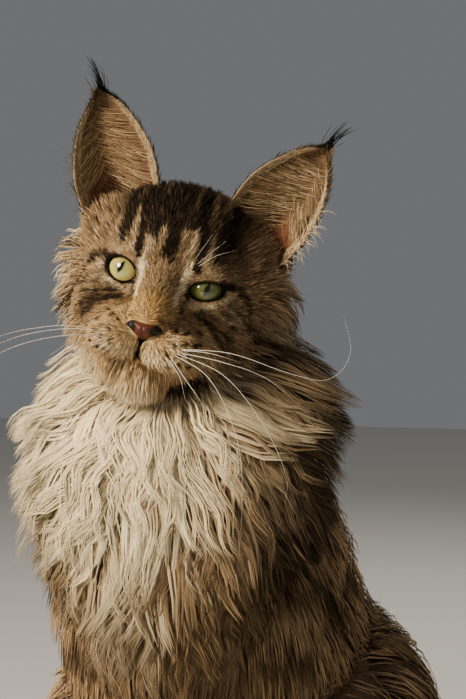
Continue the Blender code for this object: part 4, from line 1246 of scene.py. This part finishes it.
def tuftMesh(name, strands, material, flat=0.45, roundness=0.45, patchSize=0.003):
    # three corners a ring and one point at the tip, on a profile that tapers; the normals are the coat's,
    # turned a little to each side, so that the strands shade softly as one coat
    path, normal, width, tone, unwrap = strands
    n, k, _ = path.shape
    along = unit(np.gradient(path, axis=1))
    out = unit(normal[:, None] - dot(along, normal[:, None]) * along + 1e-6)
    side = np.cross(along, out)[:, :-1]
    s = np.linspace(0, 1, k)[:-1]
    w = width[:, None, None] * ((0.62 + 0.55 * s) * (1 - s**2.2) ** 0.8)[None, :, None]
    p, o, d = path[:, :-1], out[:, :-1] * w * flat, side * w * 0.5
    ring = np.stack([p - d - o * 0.33, p + d - o * 0.33, p + o * 0.67], 2).reshape(n, -1, 3)
    points = np.concatenate([ring, path[:, -1:]], 1)
    last, tip = 3 * (k - 2), 3 * (k - 1)
    faces = [(0, 2, 1)]
    for a in range(last):
        b = a + 1 if a % 3 < 2 else a - 2
        faces += [(a, b, b + 3), (a, b + 3, a + 3)]
    faces += [(last + e, last + (e + 1) % 3, tip) for e in range(3)]
    faces = np.array(faces)[:, ::-1]
    everything = (np.arange(n) * (tip + 1))[:, None, None] + faces[None]
    piece = meshFrom(name, points.reshape(-1, 3) + stance, everything.reshape(-1, 3))
    o, d = out[:, :-1] * 0.8, side * roundness
    soft = np.stack([o - d, o + d, out[:, :-1]], 2).reshape(n, -1, 3)
    soft = unit(np.concatenate([soft, out[:, -1:]], 1)).reshape(-1, 3)
    piece.data.normals_split_custom_set_from_vertices(soft.tolist())
    tone = np.broadcast_to(tone, (n, k, 3))
    paint(piece, np.concatenate([np.repeat(tone[:, :-1], 3, 1), tone[:, -1:]], 1).reshape(-1, 3))
    patch = [(e, j / (k - 1)) for j in range(k - 1) for e in (0.0, 1.0, 0.5)] + [(0.5, 1.0)]
    bakeMap(piece, unwrap[:, None, None] * (1 - 2 * patchSize) + np.array(patch)[faces][None] * patchSize)
    piece.data.materials.append(material)
    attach(piece, "root")
    print("cat:", name, n, "tufts", n * len(faces), "triangles")


def tuftPieces(name, pieces, rng, strands, material):
    # the strands dealt at random to a few pieces
    for k, chunk in enumerate(np.array_split(rng.permutation(len(strands[0])), pieces)):
        label = name + (str(k + 1) if pieces > 1 else "")
        tuftMesh(label, [v[chunk] for v in strands], material)


def tiles(part, shares, parts):
    # the parts side by side in one square, each with its own unwrap inside its tile
    across = int(math.ceil(math.sqrt(len(parts))))
    down = int(math.ceil(len(parts) / across))
    index = np.zeros(len(part), int)
    for k, n in enumerate(parts):
        index[part == partOf[n]] = k
    u = (index % across + shares[:, 0] * 0.98) / across
    v = (index // across + shares[:, 1] * 0.98) / down
    return np.stack([u, v], -1)


def strandTones(path, part, along, rng, vary=0.14, shade=1.0):
    # the coat's colour along each strand, from the marks at its root and a little lightness of its own,
    # darkened by shade, a painted shade that pale strands take less of
    n = len(path)
    dark, cream, warm = coatShares(path[:, 0], part, along)
    cream = np.clip(cream + rng.normal(0, 0.10, n) * (cream > 0.03) * (cream < 0.97), 0, 1)
    dark = np.clip(dark + rng.normal(0, 0.07, n), 0, 1)
    s = np.broadcast_to(np.linspace(0, 1, path.shape[1]), path.shape[:2])
    tick = np.where(rng.random(n) < 0.6, 0.95, 0.15)[:, None]
    tone = coatTone(dark[:, None], cream[:, None], warm[:, None], s, tick)
    shade = (shade + (1 - shade) * 0.7 * cream)[:, None, None]  # pale strands keep more of their tone
    return tone * shade * lighter(vary, n, rng)


hair = coatMaterial("hair", 0.85, streaks=0.34)
silk = coatMaterial("ruffHair", 0.62, streaks=0.24)

print("cat: the face")
face = {
    "tufts": 36000,
    "pieces": 2,
    "longTufts": 5600,
    "lengthFace": 0.0055,
    "lengthMuzzle": 0.0036,
    "lengthCrown": 0.0100,
    "lengthTemple": 0.0130,
    "lengthCheek": 0.024,
    "lengthNape": 0.038,
    "lengthJaw": 0.030,
    "lengthChin": 0.0160,
    "guardShare": 0.15,
    "guardTone": 0.50,
}


def longShares(q):
    # how much each place belongs to the long hair of the nape, the cheeks' back and the jaw's underside
    x, y, z = np.abs(q[:, 0]), q[:, 1], q[:, 2]
    back = ease(0.010, 0.035, y)
    cheek = ease(0.030, 0.044, x) * ease(0.014, -0.006, z) * ease(-0.012, 0.008, y)
    jaw = ease(-0.028, -0.042, z) * ease(-0.046, -0.026, y)
    return back, cheek, jaw


def faceLengths(q):
    # short on the muzzle and bridge, longer on the forehead and crown, longest on the cheeks' back
    x, y, z = np.abs(q[:, 0]), q[:, 1], q[:, 2]
    muzzle = ease(-0.024, -0.040, y)
    temple = ease(0.026, 0.040, x) * ease(0.0, 0.016, z) * ease(-0.030, -0.012, y)
    temple = temple * (1 - ease(0.010, 0.030, y))
    places = {"Muzzle": muzzle, "Crown": ease(0.018, 0.040, z) * (1 - muzzle), "Temple": temple}
    places.update(zip(("Nape", "Cheek", "Jaw"), longShares(q)))
    length = np.full(len(q), face["lengthFace"])
    for place, amount in places.items():
        length = length + (face["length" + place] - length) * amount
    length = np.maximum(length, face["lengthChin"] * (ease(-0.038, -0.044, z) * ease(0.022, 0.010, x)))
    for side in (1, -1):
        e = toEye(q, side)
        close = ease(0.019, 0.011, np.linalg.norm(e[:, (0, 2)], axis=-1)) * (e[:, 1] < 0)
        length = length * (1 - 0.62 * close)
    return length


def faceDensity(p):
    # tufts stand closer on the front of the face, closest on the muzzle
    y = toHead(p)[:, 1]
    return 0.35 + 1.3 * ease(0.0, -0.03, y) + 0.8 * ease(-0.03, -0.05, y)


def bareFace(q):
    # true where no hair grows: on the lids' edges, the nose leather and the lips
    ahead = q[:, 1] < -0.03
    bare = (lipDistance(q, lipLine, frontLine) < 0.0008) & ahead
    bare |= (frontLine(q, cleft) < 0.0017) & ahead
    for side in (1, -1):
        e = toEye(q, side)
        bare |= (eyeSize(e, side) < 1.11) & (e[:, 1] < 0)
    x, y, z = (q - np.array(nose["at"])).T
    return bare | (np.abs(x) < 0.0090 - 0.9 * np.maximum(-z, 0)) & (z < 0.0036) & (z > -0.0052) & (y < 0.008)


def faceRoots(count, seed, density, keepOf):
    # roots on the head where hair grows and keepOf(the long hair's share, a random number) is true
    root, normal, part, shares, rng = scatter(["head"], count, seed, density)
    q = toHead(root)
    keep = ~bareFace(q) & keepOf(np.maximum.reduce(longShares(q)), rng.random(len(q)))
    return [v[keep] for v in (root, normal, part, shares, q)] + [rng]


def growFace():
    # short tufts that lie away from the nose, some of them darker guard hairs
    roots = faceRoots(face["tufts"], 41, faceDensity, lambda long, chance: long < chance * 0.7 + 0.25)
    root, normal, part, shares, q, rng = roots
    n = len(root)
    length = faceLengths(q) * rng.uniform(0.75, 1.2, n)
    lift = length * (0.30 + 0.14 * ease(-0.030, -0.042, q[:, 1]))
    path = grow(root, normal, length, lift, 2, headLie, rise=0.6, sunk=0.0004)
    path = clumped(path, root, 6, 0.5, rng)[0]
    path = shaken(path, (length * 0.035)[:, None, None], rng)
    width = np.clip(length * 0.070, 0.00036, 0.0008) * rng.uniform(0.8, 1.25, n)
    tone = strandTones(path, part, shares[:, 1], rng, 0.30, 0.76)
    guard = rng.random(n) < face["guardShare"]
    tone = tone * np.where(guard, face["guardTone"], 1.0)[:, None, None]
    tuftPieces("faceFur", face["pieces"], rng, (path, normal, width, tone, shares), hair)


def growCheeks():
    # the long hair of the nape, cheeks and jaw, which falls over the ruff
    def density(p):
        return 0.02 + np.maximum.reduce(longShares(toHead(p)))

    roots = faceRoots(face["longTufts"], 43, density, lambda long, chance: long > chance * 0.5)
    root, normal, part, shares, q, rng = roots
    n = len(root)
    length = faceLengths(q) * rng.uniform(0.7, 1.2, n)
    side = ease(0.020, 0.036, np.abs(q[:, 0])) * ease(-0.010, 0.012, q[:, 1]) * ease(0.032, 0.015, q[:, 2])
    length = length * (1 + 0.45 * side)
    lift = length * (0.34 + 0.20 * side)
    path = grow(root, normal, length, lift, 4, headLie, rise=0.8, sunk=0.0005, droop=0.4)
    path = clumped(path, root, 9, 0.6, rng)[0]
    path = shaken(path, (length * 0.03)[:, None, None], rng)
    width = np.clip(length * 0.045, 0.0005, 0.0011) * rng.uniform(0.7, 1.25, n)
    width = width * (1 - 0.42 * ease(-0.026, -0.036, q[:, 2]))
    tone = strandTones(path, part, shares[:, 1], rng, 0.22, 0.85)
    tuftMesh("cheekFur", (path, normal, width, tone, shares), hair)


growCheeks()
growFace()

print("cat: the ruff")
ruff = {
    "frontTufts": 6300,
    "sideTufts": 4300,
    "underTufts": 2600,
    "width": 0.00074,
    "length": 0.064,
    "lift": 0.024,
    "droop": 0.50,
    "waveSize": 0.0044,
    "waveLength": 0.030,
    "throat": (0.0, -0.100, 0.352),
}


def ruffLie(p):
    # fans out from the throat in front, and follows the body's lie behind
    away = unit((p - np.array(ruff["throat"])) * (1.5, 1.0, 0.75) + (0, 0, -0.010))
    front = (ease(-0.005, -0.060, p[:, 1]) * ease(0.19, 0.25, p[:, 2]))[:, None]
    high = ease(0.265, 0.31, p[:, 2:3]) * np.sign(p[:, :1]) * ease(0.010, 0.035, np.abs(p[:, :1]))
    return unit(lieAt(p) * (1 - 0.8 * front) + away * 0.8 * front + high * np.array((1.0, 0, 0.1)))


def growRuff(name, count, seed, density, steps, pieces=1, broad=1.0, high=1.0):
    # long locks fanned out from the throat: drawn together widely, waved as one, drawn together closely
    root, normal, part, shares, rng = scatter(["neck"], count, seed, density)
    n = len(root)
    x, y, z = root.T
    front = ease(-0.05, -0.10, y)
    lower = ease(0.285, 0.235, z) * ease(0.018, 0.040, np.abs(x))
    length = ruff["length"] * (0.80 + 0.20 * front) * (0.95 + 0.15 * wander(root, 0.011, 61))
    length = length * rng.uniform(0.86, 1.06, n) * (1 - 0.35 * lower)
    lift = ruff["lift"] * (0.76 + 0.30 * wander(root, 0.012, 62)) * rng.uniform(0.82, 1.12, n)
    lift = lift * (0.65 + 0.35 * ease(0.22, 0.28, z)) * (1 - 0.5 * lower)
    lift = lift * (1 + 0.35 * ease(0.29, 0.32, z) * ease(0.02, 0.04, np.abs(x))) * high
    lift = lift * (1 - 0.45 * ease(-0.040, -0.010, y))
    path = grow(root, normal, length, lift, steps, ruffLie, rise=0.8, droop=ruff["droop"])
    path, mine = clumped(path, root, 42, 0.62, rng, 1.1)
    phase = rng.uniform(0, 2 * np.pi, n)[mine] + rng.normal(0, 0.13, n)
    size = ruff["waveSize"] * rng.uniform(0.5, 1.5, n)[mine] * (0.35 + 0.65 * front)
    run = ruff["waveLength"] * rng.uniform(0.85, 1.35, n)[mine]
    path = wave(path, normal, size[:, None], run[:, None], phase)
    path, mine = clumped(path, root, 9, 0.84, rng, 0.85)
    path[:, 1:-1] = path[:, 1:-1] * 0.5 + (path[:, :-2] + path[:, 2:]) * 0.25  # no kinks
    path = overFloor(path + rng.normal(0, 1, (n, 1, 3)) * 0.0007 * upTo(steps + 1) ** 2)
    width = ruff["width"] * broad * rng.uniform(0.55, 1.3, n)
    tone = strandTones(path, part, shares[:, 1], rng, 0.10)
    tone = tone * lighter(0.11, n, rng)[mine]
    across, up = path[:, :, :1], path[:, :, 2:]
    aside = across - 0.018 * ease(0.300, 0.272, up)
    tone = tone * (1 - 0.68 * ease(0.016, 0.052, aside))  # browner towards the left shoulder: partly the coat's own colour and partly painted shade on the side turned away from the light
    tone = tone * (1 - 0.24 * ease(0.040, 0.070, -across))
    tone = tone * (0.66 + 0.56 * ease(0.19, 0.31, up))  # and darker towards the ground: painted shade
    tuftPieces(name, pieces, rng, (path, normal, width, tone, shares), silk)


growRuff("bibFur", ruff["frontTufts"], 57, lambda p: ease(-0.055, -0.085, p[:, 1]) + 0.02, 11, 3)
growRuff("underFur", ruff["underTufts"], 59, lambda p: ease(-0.045, -0.075, p[:, 1]) + 0.02, 5, 1, 3.6, 0.55)
growRuff("neckFur", ruff["sideTufts"], 58, lambda p: 1.0 - 0.8 * ease(-0.055, -0.085, p[:, 1]), 5, 1, 1.3)

print("cat: the body")
bodyCoat = {"tufts": 10200, "pieces": 2, "width": 0.0016, "length": 0.046, "lift": 0.019}


def growBody():
    # long tufts down the back and flanks, in wide locks of narrow ones
    parts = ["torso", "haunchLeft", "haunchRight"]
    root, normal, part, shares, rng = scatter(parts, bodyCoat["tufts"], 63)
    n = len(root)
    length = bodyCoat["length"] * rng.uniform(0.7, 1.15, n)
    lift = bodyCoat["lift"] * rng.uniform(0.5, 1.1, n)
    path = grow(root, normal, length, lift, 4, lieAt)
    path = clumped(path, root, 60, 0.45, rng, 1.3)[0]
    path = clumped(path, root, 9, 0.55, rng, 1.2)[0]
    path = overFloor(shaken(path, 0.0012, rng))
    width = bodyCoat["width"] * rng.uniform(0.6, 1.3, n)
    strands = (path, normal, width, strandTones(path, part, shares[:, 1], rng), tiles(part, shares, parts))
    tuftPieces("bodyFur", bodyCoat["pieces"], rng, strands, hair)


growBody()

print("cat: legs and feet")
legCoat = {"tufts": 9000, "width": 0.0011}


def growLegs():
    # short tufts down the legs and forwards over the feet, longer behind the legs
    limbs = ("foreleg", "hindFoot", "forepaw", "hindpaw")
    parts = [limb + side for limb in limbs for side in sideName.values()]
    root, normal, part, shares, rng = scatter(parts, legCoat["tufts"], 71)
    n = len(root)
    foot = isPart(part, "forepaw", "hind")
    back = ease(0.1, 0.8, normal[:, 1]) * ~foot
    length = np.where(foot, 0.0075, 0.012 + 0.016 * ease(0.04, 0.16, root[:, 2]))
    length = (length + 0.014 * back) * rng.uniform(0.75, 1.15, n)

    def lie(p):
        # the body's lie above, forwards over the feet and down on the shins
        down = ease(0.09, 0.05, p[:, 2:3])
        forward = np.array((0.0, -0.75, -0.35)) * down * foot[:, None]
        return unit(lieAt(p) * (1 - down) + forward + np.array((0, 0.1, -1.0)) * down * ~foot[:, None])

    path = grow(root, normal, length, length * np.where(foot, 0.36, 0.30), 2, lie, rise=0.4)
    path = overFloor(clumped(path, root, 7, 0.45, rng)[0])
    width = legCoat["width"] * np.where(foot, 0.62, 1.0) * rng.uniform(0.7, 1.25, n)
    tone = strandTones(path, part, shares[:, 1], rng, 0.20, 0.85)
    strands = (path, normal, width, tone, tiles(part, shares, parts))
    tuftMesh("legFur", [v[~foot] for v in strands], hair)
    tuftMesh("footFur", [v[foot] for v in strands], hair)


growLegs()

print("cat: the tail")
tailCoat = {"tufts": 5000, "width": 0.0018, "length": 0.054, "lift": 0.029}


def growTail():
    # long tufts along the tail's middle line, shorter at both its ends
    root, normal, part, shares, rng = scatter(["tail"], tailCoat["tufts"], 83)
    n = len(root)
    along = tailLie(root)[1]
    length = tailCoat["length"] * rng.uniform(0.7, 1.15, n) * (1 - 0.35 * ease(0.15, 0.0, along))
    length = length * (1 - 0.30 * ease(0.8, 1.0, along))
    lift = tailCoat["lift"] * rng.uniform(0.55, 1.05, n) * (1 - 0.72 * ease(0.70, 0.98, along))
    path = grow(root, normal, length, lift, 4, lambda p: tailLie(p)[0], rise=0.6)
    path = clumped(path, root, 50, 0.35, rng)[0]
    path = clumped(path, root, 9, 0.5, rng)[0]
    path = overFloor(shaken(path, 0.0012, rng))
    width = tailCoat["width"] * rng.uniform(0.6, 1.3, n) * (1 - 0.45 * ease(0.75, 0.95, along))
    tone = strandTones(path, part, shares[:, 1], rng, 0.09)
    tuftMesh("tailFur", (path, normal, width, tone, shares), hair)


growTail()

print("cat: ears")
earCoat = {"fringe": 800, "backs": 2000, "rim": 1300, "down": 900, "wisps": 40, "tip": 42}


def onGrid(grid, r, c):
    # the grid's value at shares r along and c across, mixed between its four neighbours
    rows, across = grid.shape[:2]
    x, y = r * (rows - 1), c * (across - 1)
    i, j = np.minimum(x.astype(int), rows - 2), np.minimum(y.astype(int), across - 2)
    a, b = (x - i)[:, None], (y - j)[:, None]
    low = grid[i, j] * (1 - b) + grid[i, j + 1] * b
    high = grid[i + 1, j] * (1 - b) + grid[i + 1, j + 1] * b
    return low * (1 - a) + high * a


def growEars():
    # tufts rooted by their shares up and across the ear, root + way * s + bend * s^2 along each
    rng = np.random.default_rng(91)
    for side in (1, -1):
        cup, wall = earSheets[side]
        along = unit(np.gradient(cup, axis=0))
        aside = unit(np.gradient(cup, axis=1))
        inwards = unit(np.cross(along, aside))
        if (inwards.mean((0, 1)) @ headTurn)[1] > 0:
            inwards = -inwards

        def frameAt(r, c):
            # a place on the cup, with the ways up the ear, across it and out of its hollow
            return [onGrid(grid, r, c) for grid in (cup, along, aside, inwards)]

        def tufts(kind, path, out, width, tone, r, c, material):
            # one kind of the ear's tufts, with the roots' shares as their unwrap
            strands = (path, out, width, tone, np.stack([c, r], -1))
            tuftMesh("ear" + kind + sideName[side], strands, material)

        # pale hairs from the inner edge across the opening, and shorter ones from the outer edge
        n = int(earCoat["fringe"] * share * (1.0 if side > 0 else 0.7))
        fromInner = rng.random(n) < 0.78
        r = np.where(fromInner, rng.beta(1.2, 1.6, n) * 0.66 + 0.02, rng.beta(1.1, 1.8, n) * 0.5 + 0.22)
        c = np.where(fromInner, rng.beta(1.1, 3.0, n) * 0.50 + 0.01, 1 - rng.beta(1.1, 3.5, n) * 0.35 - 0.01)
        root, up, over, out = frameAt(r, c)
        turned = np.where(fromInner, 1.0, -0.7)[:, None]
        length = np.where(fromInner, 0.030 - 0.014 * r, 0.016 - 0.006 * r) * rng.uniform(0.7, 1.2, n)
        first = unit(out * 0.9 + over * turned * 0.6 + up * 0.5)[:, None]
        after = unit(out * 0.05 + over * turned * 0.75 + up * 0.75 + rng.normal(0, 0.10, (n, 3)))[:, None]
        s = upTo(6)
        path = (root - out * 0.0005)[:, None]
        path = path + (first * (s - s**2 * 0.62) + after * s**2 * 0.62) * length[:, None, None]
        width = 0.00034 * rng.uniform(0.7, 1.3, n)
        tone = mixTone(tones["buff"], tones["ear"], rng.uniform(0.0, 0.9, n)) * (0.60 if side > 0 else 0.75)
        tone = mixTone(tone, tones["cream"], (rng.random(n) < (0.26 if side > 0 else 0.14)) * 0.5)
        tufts("Fringe", path, out, width, tone[:, None] * lighter(0.12, n, rng), r, c, silk)
        # short hair on the back, and buff hair at the rim
        n = int((earCoat["backs"] + earCoat["rim"]) * share)
        isRim = np.arange(n) < int(earCoat["rim"] * share)
        r = np.where(isRim, rng.random(n) ** 0.8, rng.random(n) ** 1.1)
        rimPlace = np.where(rng.random(n) < 0.5, rng.random(n) * 0.08, 1 - rng.random(n) * 0.08)
        c = np.where(isRim, rimPlace, rng.random(n))
        front = isRim & (rng.random(n) < 0.6)
        root, up, over, out = frameAt(r, c)
        root = np.where(front[:, None], root, onGrid(wall, r, c))
        edge = (c - 0.5) * 2
        outEdge = over * np.sign(edge)[:, None] * np.where(isRim, 0.75, 0.1 * np.abs(edge))[:, None]
        stand = np.where(front, -0.55, np.where(isRim, 0.1, 0.30))
        first = unit(up - out * stand[:, None] + outEdge + rng.normal(0, 0.08, (n, 3)))
        length = np.where(isRim, 0.0055, 0.0085) * rng.uniform(0.7, 1.2, n) * (1 - 0.3 * r)
        path = (root + out * 0.0004)[:, None] + first[:, None] * upTo(3) * length[:, None, None]
        width = np.where(isRim, 0.00040, 0.00055) * rng.uniform(0.7, 1.3, n)
        darkness = np.clip(0.55 + 0.4 * r + rng.normal(0, 0.1, n), 0, 1)
        backTone = mixTone(tones["brown"], tones["dark"], darkness)
        rimTone = mixTone(tones["cream"] * 0.8, tones["dark"], ease(0.72, 0.95, r) * 0.85)
        tone = np.where(isRim[:, None], rimTone, backTone)[:, None] * lighter(0.12, n, rng)
        tufts("Fur", path, np.where(front[:, None], out, -out), width, tone, r, c, hair)
        # a thin down inside
        n = int(earCoat["down"] * share)
        r, c = rng.random(n) ** 0.8 * 0.95, rng.random(n) * 0.96 + 0.02
        root, up, over, out = frameAt(r, c)
        first = unit(up * 0.8 + over * 0.6 + out * 0.15 + rng.normal(0, 0.08, (n, 3)))
        length = 0.0075 * rng.uniform(0.6, 1.3, n)
        path = (root - out * 0.0004)[:, None] + first[:, None] * upTo(3) * length[:, None, None]
        tone = mixTone(tones["ear"], tones["buff"], rng.uniform(0.0, 0.4, n)) * 0.8
        tone = mixTone(tone, tones["pink"], ease(0.42, 0.16, r) * ease(0.35, 0.7, c) * 0.9)[:, None]
        tone = tone * lighter(0.12, n, rng)
        tufts("Down", path, out, 0.00030 * rng.uniform(0.7, 1.3, n), tone, r, c, silk)
        # long wisps from the outer edge
        n = earCoat["wisps"]
        r, c = rng.uniform(0.08, 0.55, n), 1 - rng.random(n) * 0.06
        root, up, over, out = frameAt(r, c)
        way = unit(over + up * rng.uniform(-0.1, 0.6, n)[:, None] + out * 0.35)[:, None]
        length = rng.uniform(0.012, 0.034, n)[:, None, None]
        path = root[:, None] + (way * s + np.array((0, 0, -0.22)) * s**2) * length
        width = 0.00018 * rng.uniform(0.7, 1.2, n)
        tufts("Wisps", path, out, width, tones["cream"] * 0.85 * lighter(0.15, n, rng), r, c, silk)
        # the dark tuft at the tip
        n = int(earCoat["tip"] * max(share, 0.6))
        r, c = 1 - rng.random(n) ** 1.5 * 0.10, rng.random(n)
        root, up, over, out = frameAt(r, c)
        tipWay = unit((cup[-1].mean(0) - cup[-8].mean(0))[None])
        way = unit(tipWay + rng.normal(0, 0.09, (n, 3)))[:, None]
        bend = np.array((0.20 * side, -0.05, -0.30)) @ headTurn.T
        length = (0.021 * rng.uniform(0.35, 1.15, n))[:, None, None]
        path = root[:, None] + way * s * length + bend * s**2 * length * 0.8
        width = 0.00034 * rng.uniform(0.7, 1.3, n)
        tufts("Tip", path, out, width, tones["dark"] * 0.6 * lighter(0.2, n, rng), r, c, hair)


growEars()

print("cat: whiskers")
viewing = {  # degrees and metres, the lens in mm, and the aim's place right of the eyes and below them
    "azimuth": 15.0,
    "elevation": 3.0,
    "distance": 0.95,
    "lens": 98.0,
    "right": 0.0385,
    "down": 0.0357,
}
turnAz, turnEl = math.radians(viewing["azimuth"]), math.radians(viewing["elevation"])
viewRight = np.array((math.cos(turnAz), math.sin(turnAz), 0.0))
level = math.cos(turnEl)
viewOut = np.array((math.sin(turnAz) * level, -math.cos(turnAz) * level, math.sin(turnEl)))
viewUp = np.cross(viewOut, viewRight)
eyeMiddle = headAt + (0.0, -0.03, 0.0)
whiskers = {  # right, up and out from between the eyes, then the half thickness at the root, in mm
    "thin": 0.66,  # how much of the half thickness is used
    "long": (
        ((-26, -25, 34), (-40, -24, 36), (-62, -28, 30), (-84, -36, 18), 0.17),
        ((-27, -28, 34), (-42, -28, 38), (-64, -33, 34), (-86, -43, 24), 0.18),
        ((-28, -23, 32), (-44, -22, 32), (-66, -26, 22), (-82, -31, 8), 0.15),
        ((15, -33, 34), (40, -36, 40), (66, -46, 36), (85, -50, 28), (96, -38, 20), (93, -18, 12), 0.18),
        ((15, -36, 35), (34, -41, 42), (54, -49, 40), (71, -63, 34), 0.18),
        ((10, -38, 36), (28, -50, 46), (40, -76, 44), (43, -100, 38), (42, -131, 30), 0.18),
        ((12, -36, 36), (36, -48, 46), (54, -72, 42), (64, -96, 34), (64, -111, 28), 0.17),
        ((9, -42, 37), (16, -51, 44), (22, -59, 44), (26, -66, 42), 0.18),
        ((7, -44, 37), (13, -50, 43), (16, -61, 42), 0.16),
        ((17, -34, 33), (28, -37, 38), (42, -42, 38), 0.18),
        ((-24, -31, 35), (-34, -36, 40), (-44, -46, 38), 0.16),
        ((-22, -34, 36), (-28, -42, 40), (-32, -54, 38), 0.14),
    ),
    "brow": (
        ((20, 6, 10), (28, 12, 16), (36, 18, 18), 0.09),
        ((21, 5, 10), (30, 10, 16), (40, 13, 18), 0.09),
        ((19, 8, 10), (25, 16, 15), (31, 24, 17), 0.08),
        ((-13, 14, 10), (-18, 22, 18), (-26, 30, 20), 0.08),
        ((-14, 13, 10), (-20, 20, 18), (-30, 26, 20), 0.08),
    ),
}


def makeWhiskers():
    # a round tube through each whisker's points whose radius falls to nothing at the tip
    every, tris, maps = [], [], []
    first = 0
    rows, around = 26, 6
    s = np.linspace(0, 1, rows)[:, None]
    for index, (*stations, thick) in enumerate(whiskers["long"] + whiskers["brow"]):
        run = through(mm(stations), rows)
        path = eyeMiddle + run[:, :1] * viewRight + run[:, 1:2] * viewUp + run[:, 2:] * viewOut
        q, n, _ = near(path[:1])
        path = path + (q[0] - n[0] * 0.0006 - path[0]) * (1 - s) ** 2
        along = unit(np.gradient(path, axis=0))
        aside = unit(np.cross(along, viewOut))
        deep = np.cross(along, aside)[:, None]
        radius = (thick * whiskers["thin"] / 1000 * (1 - s**1.6 * 0.93))[:, None]
        turn = circle(around)[None, :, None]
        ring = path[:, None] + radius * (aside[:, None] * np.cos(turn) + deep * np.sin(turn))
        ends = (path[:1] - along[:1] * 0.0001, path[-1:] + along[-1:] * 0.0005)
        points = np.vstack([ring.reshape(-1, 3), *ends])
        faces = outward(points, shellFaces(rows, around))
        corner = (shellShares(rows, around) * 0.9 + (index % 5, index // 5)) / 5
        every.append(points)
        tris.append(faces + first)
        maps.append(corner[faces])
        first += len(points)
    piece = meshFrom("whiskers", np.vstack(every) + stance, np.concatenate(tris))
    bakeMap(piece, np.concatenate(maps))
    material = newMaterial("whisker", {"Base Color": (0.86, 0.80, 0.70, 1), "Roughness": 0.35})[0]
    piece.data.materials.append(material)
    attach(piece, "root")


makeWhiskers()

print("cat: floor, lights and camera")
square = np.array(((-3, -3, 0), (3, -3, 0), (3, 3, 0), (-3, 3, 0)), float)
floor = meshFrom("floor", square, np.array(((0, 1, 2, 3),)))
material = newMaterial("floorPaint", {"Base Color": (0.62, 0.60, 0.57, 1), "Roughness": 0.7})[0]
floor.data.materials.append(material)
floor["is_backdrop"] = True

target = eyeMiddle + stance + viewRight * viewing["right"] - viewUp * viewing["down"]
lights = {  # right, up and out of the view from the aim in metres, size, power, colour
    "key": ((-1.04, 0.60, 0.72), 0.5, 46.0, (1.0, 0.88, 0.70)),
    "fill": ((0.3, 0.25, 1.4), 1.2, 2.0, (1.0, 0.95, 0.88)),
    "rim": ((0.5, 0.9, -1.1), 0.7, 9.0, (1.0, 0.95, 0.88)),
}
for name, (place, size, power, colour) in lights.items():
    lamp = bpy.data.lights.new(name, "AREA")
    lamp.size = size
    lamp.energy = power
    lamp.color = colour
    item = bpy.data.objects.new(name, lamp)
    bpy.context.scene.collection.objects.link(item)
    where = target + viewRight * place[0] + viewUp * place[1] + viewOut * place[2]
    item.location = where
    item.rotation_euler = Vector(target - where).to_track_quat("-Z", "Y").to_euler()
    item.visible_glossy = name != "fill"  # only the key and the rim light shine in the eyes
world = bpy.data.worlds.new("room")
world.use_nodes = True
world.node_tree.nodes["Background"].inputs["Color"].default_value = (0.80, 0.82, 0.85, 1)
world.node_tree.nodes["Background"].inputs["Strength"].default_value = 0.20
bpy.context.scene.world = world

cameraData = bpy.data.cameras.new("camera")
cameraData.lens = viewing["lens"]
cameraData.sensor_width = 36.0
camera = bpy.data.objects.new("camera", cameraData)
bpy.context.scene.collection.objects.link(camera)
camera.location = target + viewOut * viewing["distance"]
camera.rotation_euler = Vector(-viewOut).to_track_quat("-Z", "Y").to_euler()
bpy.context.scene.camera = camera

low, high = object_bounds()
print("cat: box", [round(v, 4) for v in low], [round(v, 4) for v in high])
